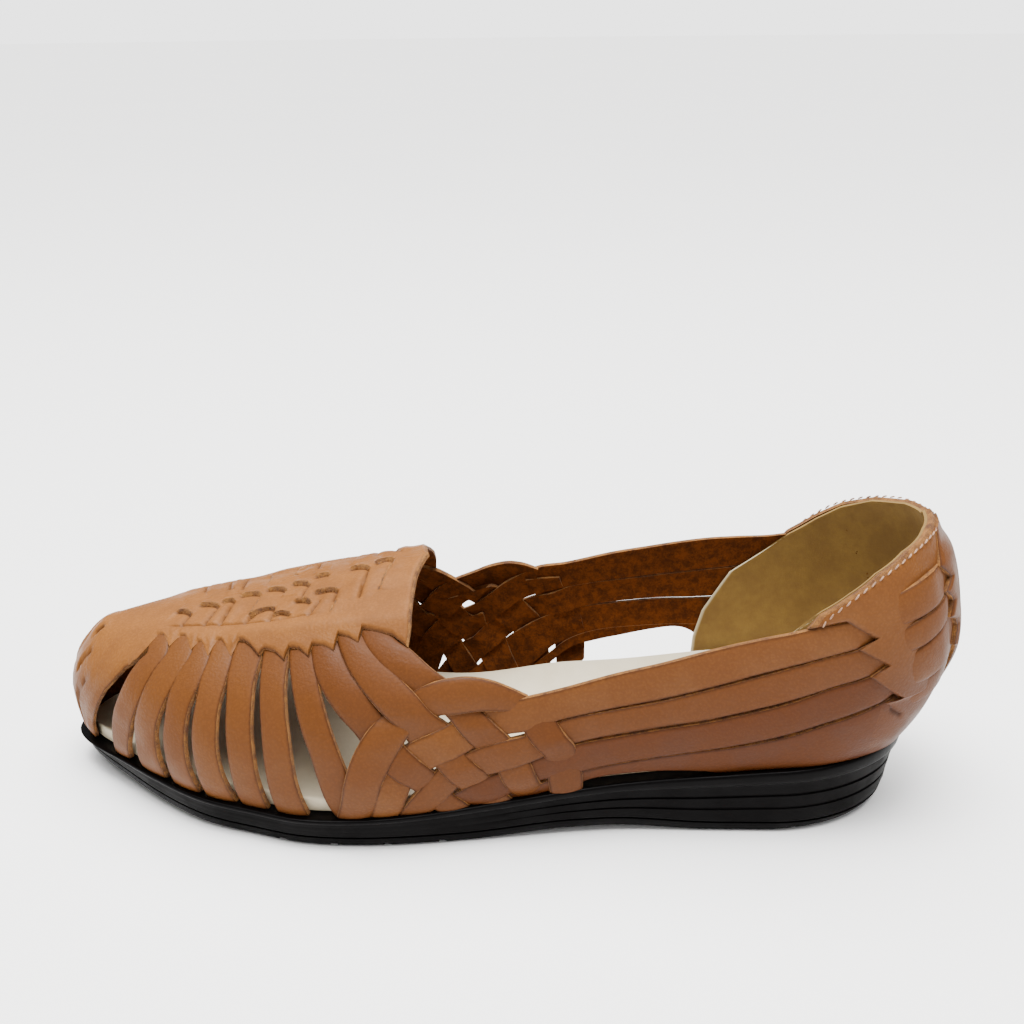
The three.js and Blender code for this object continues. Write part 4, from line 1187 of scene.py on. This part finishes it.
# grooves are shares of the length; treadStart and treadStop place the tread's outline past the seat's ends
sole = {
    "turns": 220, "tread": 3.2, "spring": 4.8, "waist": 1.5, "seam": 0.3, "footbed": 4.0, "cup": 4.5,
    "grooves": (0.09, 0.15, 0.54, 0.60, 0.66, 0.72), "grooveWidth": 2.2, "grooveDepth": 1.2,
    "grooveFloor": 0.42, "treadStart": 8.0, "treadStop": 0.4,
}


# plan outline grown by a distance; back moves the heel end forwards; closeness 1 is the outline, 0 its middle
def outlineAt(turn, grow, back, closeness=1.0):
    heel, toe = ends(np.zeros(1))
    start, stop = heel[0] - grow + back, toe[0] + grow
    x = start + (stop - start) * (1 - np.cos(np.pi * turn)) / 2
    taper = roundEnd(x - start, last["heelRound"] + grow) * roundEnd(stop - x, last["toeRound"] + grow)
    outer = (table("outerFoot", x) * last["ball"] + grow) * taper
    inner = (table("innerFoot", x) * last["ball"] + grow) * taper
    middle = (outer - inner) / 2
    return x, centreAt(x) + middle + (np.where(turn < 0, -inner, outer) - middle) * closeness


def springAt(x):
    share = np.asarray(x) / last["length"]
    waist = smooth(0.24, 0.36, share) * fade(0.40, 0.52, share)
    return sole["spring"] * smooth(0.74, 1.04, share) + sole["waist"] * waist


def treadTop(x):
    return springAt(x) + sole["tread"]


def grooveStations():
    return np.array(sole["grooves"]) * last["length"]


# turns of a side's columns, with extra ones at both walls of each flex groove, so that they stand upright
def soleTurns():
    heelEnd, toeEnd = (v[0] for v in ends(np.zeros(1)))
    walls = np.array([-0.5, -sole["grooveFloor"], sole["grooveFloor"], 0.5]) * sole["grooveWidth"]
    start, stop = heelEnd + sole["treadStart"], toeEnd + sole["treadStop"]
    part = (np.add.outer(grooveStations(), walls).ravel() - start) / (stop - start)
    return np.unique(np.concatenate([np.linspace(0, 1, sole["turns"]), np.arccos(1 - 2 * part) / np.pi]))


# rows are (grow, back, closeness, height over x) and a groove's depth, which fades ahead of the heel;
# the first and last rows fold onto the middle line
def soleSolid(rows, name, material, replaced, marks=None, angle=50):
    half = soleTurns()
    turn = np.concatenate([half, -half[::-1][1:-1]])
    rings = []
    for grow, back, closeness, height, *groove in rows:
        x, y = outlineAt(turn, grow, back, closeness)
        if groove:
            innerX, innerY = outlineAt(turn, grow - groove[0], back, closeness)
            deep = fade(80, 135, x)
            x, y = x + (innerX - x) * deep, y + (innerY - y) * deep
        rings.append(np.stack([x, y, height(x)], -1))
    points = np.stack(rings, 1)
    n, m = points.shape[:2]
    i, j = np.meshgrid(np.arange(n), np.arange(m - 1), indexing="ij")
    k = (i + 1) % n
    quads = np.stack([i * m + j, i * m + j + 1, k * m + j + 1, k * m + j], -1).reshape(-1, 4)
    batch = newBatch()
    mark = np.broadcast_to(np.zeros(m) if marks is None else np.asarray(marks, float), (n, m))
    addSolid(batch, points, outwardFaces(points, [quads]), [0], 9.0, 0.5, mark)
    return finishBatch(batch, name, [material], replaced, angle=angle, weld=0.00002)


# rows by grow, back and the share of the way from the tread's top to the seat; a fourth number is a groove
def makeMidsole():
    def level(share):
        return lambda x: (treadTop(x) + sole["seam"]) * (1 - share) + (seatAt(x) - sole["seam"]) * share

    inward = [(2.0, 5.8, 0.0, level(0)), (2.0, 5.8, 0.5, level(0)), (2.2, 5.7, 1, level(0)),
              (2.4, 5.6, 1, level(0.015))]
    # two grooves run round the heel and fade out at the waist
    wall = [(2.5, 5.4, 0.05), (2.7, 5.0, 0.16), (2.78, 4.9, 0.255), (2.8, 4.85, 0.27, 0.5),
            (2.8, 4.8, 0.30, 0.5), (2.84, 4.7, 0.315), (2.95, 4.4, 0.42), (3.0, 4.2, 0.505),
            (3.0, 4.15, 0.52, 0.5), (3.02, 4.1, 0.55, 0.5), (3.05, 4.0, 0.565), (3.15, 3.7, 0.65),
            (3.25, 3.5, 0.71), (3.3, 3.36, 0.745), (3.4, 3.36, 0.765), (3.9, 3.34, 0.785),
            (4.15, 3.3, 0.81), (4.28, 3.2, 0.86), (4.3, 3.15, 0.91), (4.2, 3.1, 0.955), (3.95, 3.1, 0.985),
            (3.6, 3.2, 1.0), (2.8, 3.4, 1.0), (1.5, 3.8, 1.0)]
    rows = inward + [(row[0], row[1], 1, level(row[2]), *row[3:]) for row in wall]
    rows += [(0.5, 4.5, 1, level(1.0)), (0.5, 4.5, 0.5, level(1.0)), (0.5, 4.5, 0.0, level(1.0))]
    marks = [0] * 4 + [1.0 if row[2] > 0.76 else 0.0 for row in wall] + [0] * 3
    soleSolid(rows, "midsoleRubber", blackRubber, "midsole", marks, angle=42)


# rows climb from the ground to the tread's top, and a flex groove lifts the lowest ones
def makeOutsole():
    def groove(x):
        away = np.abs(np.subtract.outer(x, grooveStations())).min(-1)
        return sole["grooveDepth"] * fade(sole["grooveFloor"], 0.5, away / sole["grooveWidth"])

    def rise(amount):
        return lambda x: springAt(x) + np.maximum(amount, groove(x))

    rows = [(0.3, 8.7, 0.0, rise(0)), (0.3, 8.7, 0.5, rise(0)), (0.4, 8.6, 1, rise(0)),
            (0.75, 8.3, 1, rise(0.12)), (1.05, 7.9, 1, rise(0.4)), (1.8, 6.65, 1, rise(1.3)),
            (2.15, 6.0, 1, rise(2.3)), (2.35, 5.65, 1, rise(3.0)), (2.25, 5.7, 1, rise(3.15)),
            (2.0, 5.9, 1, rise(3.2)), (1.5, 6.2, 0.5, rise(3.2)), (1.5, 6.2, 0.0, rise(3.2))]
    soleSolid(rows, "outsoleRubber", blackRubber, "outsole", angle=42)


# rows climb round the edge, then step inwards over a top that sinks by the square of the way from the edge
def makeFootbed():
    def cupAt(x):
        return sole["cup"] * fade(0.40, 0.56, x / last["length"])

    def topAt(edge):
        return lambda x: seatAt(x) + sole["footbed"] + cupAt(x) * edge**2

    def side(amount):
        return lambda x: seatAt(x) + amount * (sole["footbed"] + cupAt(x))

    rows = [(-0.6, 0.1, 0.0, side(0)), (-0.6, 0.1, 0.5, side(0)), (-0.55, 0.05, 1, side(0)),
            (-0.45, 0, 1, side(0.05)), (-0.45, 0, 1, side(0.5)), (-0.45, 0, 1, side(0.86)),
            (-0.6, 0, 1, side(0.96)), (-1.0, 0, 1, topAt(0.985))]
    for inset in (1.6, 2.6, 4.2, 6.5, 9.0, 11.5, 14.5, 18.0, 21.0):
        rows.append((-inset, 0, 1, topAt(max(1 - inset / 24, 0))))
    for closeness in (0.75, 0.5, 0.25, 0.0):
        rows.append((-21.0, 0, closeness, topAt(0.1)))
    soleSolid(rows, "footbedTop", footbedLeather, "insole", angle=60)


makeMidsole()
makeOutsole()
makeFootbed()
print("sole ready")

# floor, soft lights and the camera

# lamps as place, size and power
studio = {
    "floor": tint(254, 253, 252), "dust": tint(250, 250, 249), "floorRough": 0.8, "reach": 14.0,
    "camera": (0.06195, 0.35278, 0.21578), "tilt": 20.5, "roll": -0.6, "yaw": 3.8, "lens": 46.76,
    "overhead": 8.0, "spread": 1.3, "lean": 0.12, "room": 0.46, "beyond": 3.0, "aim": (0.09, 0, 0.03),
    "lamps": {"key": ((0.15, 0.15, 1.3), (0.8, 0.6), 27), "front": ((-0.2, 1.1, 0.7), (1.0, 0.7), 2.0)},
}


def addObject(name, data):
    made = bpy.data.objects.new(name, data)
    bpy.context.collection.objects.link(made)
    return made


# a wide disc, its rings closer together near the shoe
def makeFloor():
    radius = np.geomspace(0.3, studio["reach"], 9)[:, None]
    angle = np.linspace(0, 2 * np.pi, 49)[:-1]
    x, y = radius * np.cos(angle), radius * np.sin(angle)
    points = np.concatenate([[[0, 0, 0]], np.stack([x, y, 0 * x], -1).reshape(-1, 3)])
    k = np.arange(48)
    after = (k + 1) % 48
    rings = np.arange(8)[:, None] * 48 + 1
    quads = np.stack([rings + k, rings + 48 + k, rings + 48 + after, rings + after], -1).reshape(-1, 4)
    centre = np.stack([0 * k, k + 1, after + 1], -1)
    mesh = bpy.data.meshes.new("floor")
    mesh.from_pydata(points.tolist(), [], quads.tolist() + centre.tolist())
    material, tree, shader, place = newMaterial("studio floor", studio["floor"])
    dust = noise(tree, place, 3.0, 2.0).outputs["Fac"]
    tree.links.new(mixColour(tree, dust, studio["floor"], studio["dust"]), shader.inputs["Base Color"])
    shader.inputs["Roughness"].default_value = studio["floorRough"]
    mesh.materials.append(material)
    floor = addObject("floor", mesh)


# soft lamps turned towards one aim
def makeLamps():
    for name, (place, size, power) in studio["lamps"].items():
        data = bpy.data.lights.new(name, "AREA")
        data.shape = "RECTANGLE"
        data.size, data.size_y = size
        data.energy = power
        lamp = addObject(name, data)
        away = np.array(place, float) - studio["aim"]
        away /= np.linalg.norm(away)
        lamp.location = place
        lamp.rotation_euler = (math.acos(away[2]), 0, math.atan2(away[0], -away[1]))


# the camera looks along -Y, tilted down, rolled about its own line of sight, then turned about the vertical
def makeCamera():
    tilt, roll, yaw = (math.radians(studio[k]) for k in ("tilt", "roll", "yaw"))
    right, up = np.array([-1.0, 0, 0]), np.array([0, -math.sin(tilt), math.cos(tilt)])
    rolled = [right * math.cos(roll) + up * math.sin(roll), up * math.cos(roll) - right * math.sin(roll)]
    turned = np.stack(rolled + [np.array([0, math.cos(tilt), math.sin(tilt)])], 1)
    about = np.array([[math.cos(yaw), -math.sin(yaw), 0], [math.sin(yaw), math.cos(yaw), 0], [0, 0, 1]])
    data = bpy.data.cameras.new("camera")
    data.lens, data.sensor_width, data.clip_start = studio["lens"], 36, 0.01
    camera = addObject("camera", data)
    pose = np.eye(4)
    pose[:3, :3], pose[:3, 3] = about @ turned, studio["camera"]
    camera.matrix_world = mathutils.Matrix(pose.tolist())
    bpy.context.scene.camera = camera


def makeSky():
    data = bpy.data.lights.new("overhead", "SUN")
    data.energy, data.angle = studio["overhead"], studio["spread"]
    addObject("overhead", data).rotation_euler = (studio["lean"], 0.0, 0.0)
    # the room is dim round the shoe but bright where the camera sees past the floor
    world = bpy.data.worlds.new("studio")
    bpy.context.scene.world = world
    world.use_nodes = True
    tree = world.node_tree
    dim, output = tree.nodes["Background"], tree.nodes["World Output"]
    dim.inputs["Color"].default_value = (1, 1, 1, 1)
    dim.inputs["Strength"].default_value = studio["room"]
    bright = node(tree, "ShaderNodeBackground", {"Color": (1, 1, 1, 1), "Strength": studio["beyond"]})
    seen = node(tree, "ShaderNodeLightPath").outputs["Is Camera Ray"]
    both = node(tree, "ShaderNodeMixShader", {0: seen, 1: dim.outputs[0], 2: bright.outputs[0]})
    tree.links.new(both.outputs[0], output.inputs["Surface"])


makeFloor()
makeSky()
makeLamps()
makeCamera()
print("stage ready")
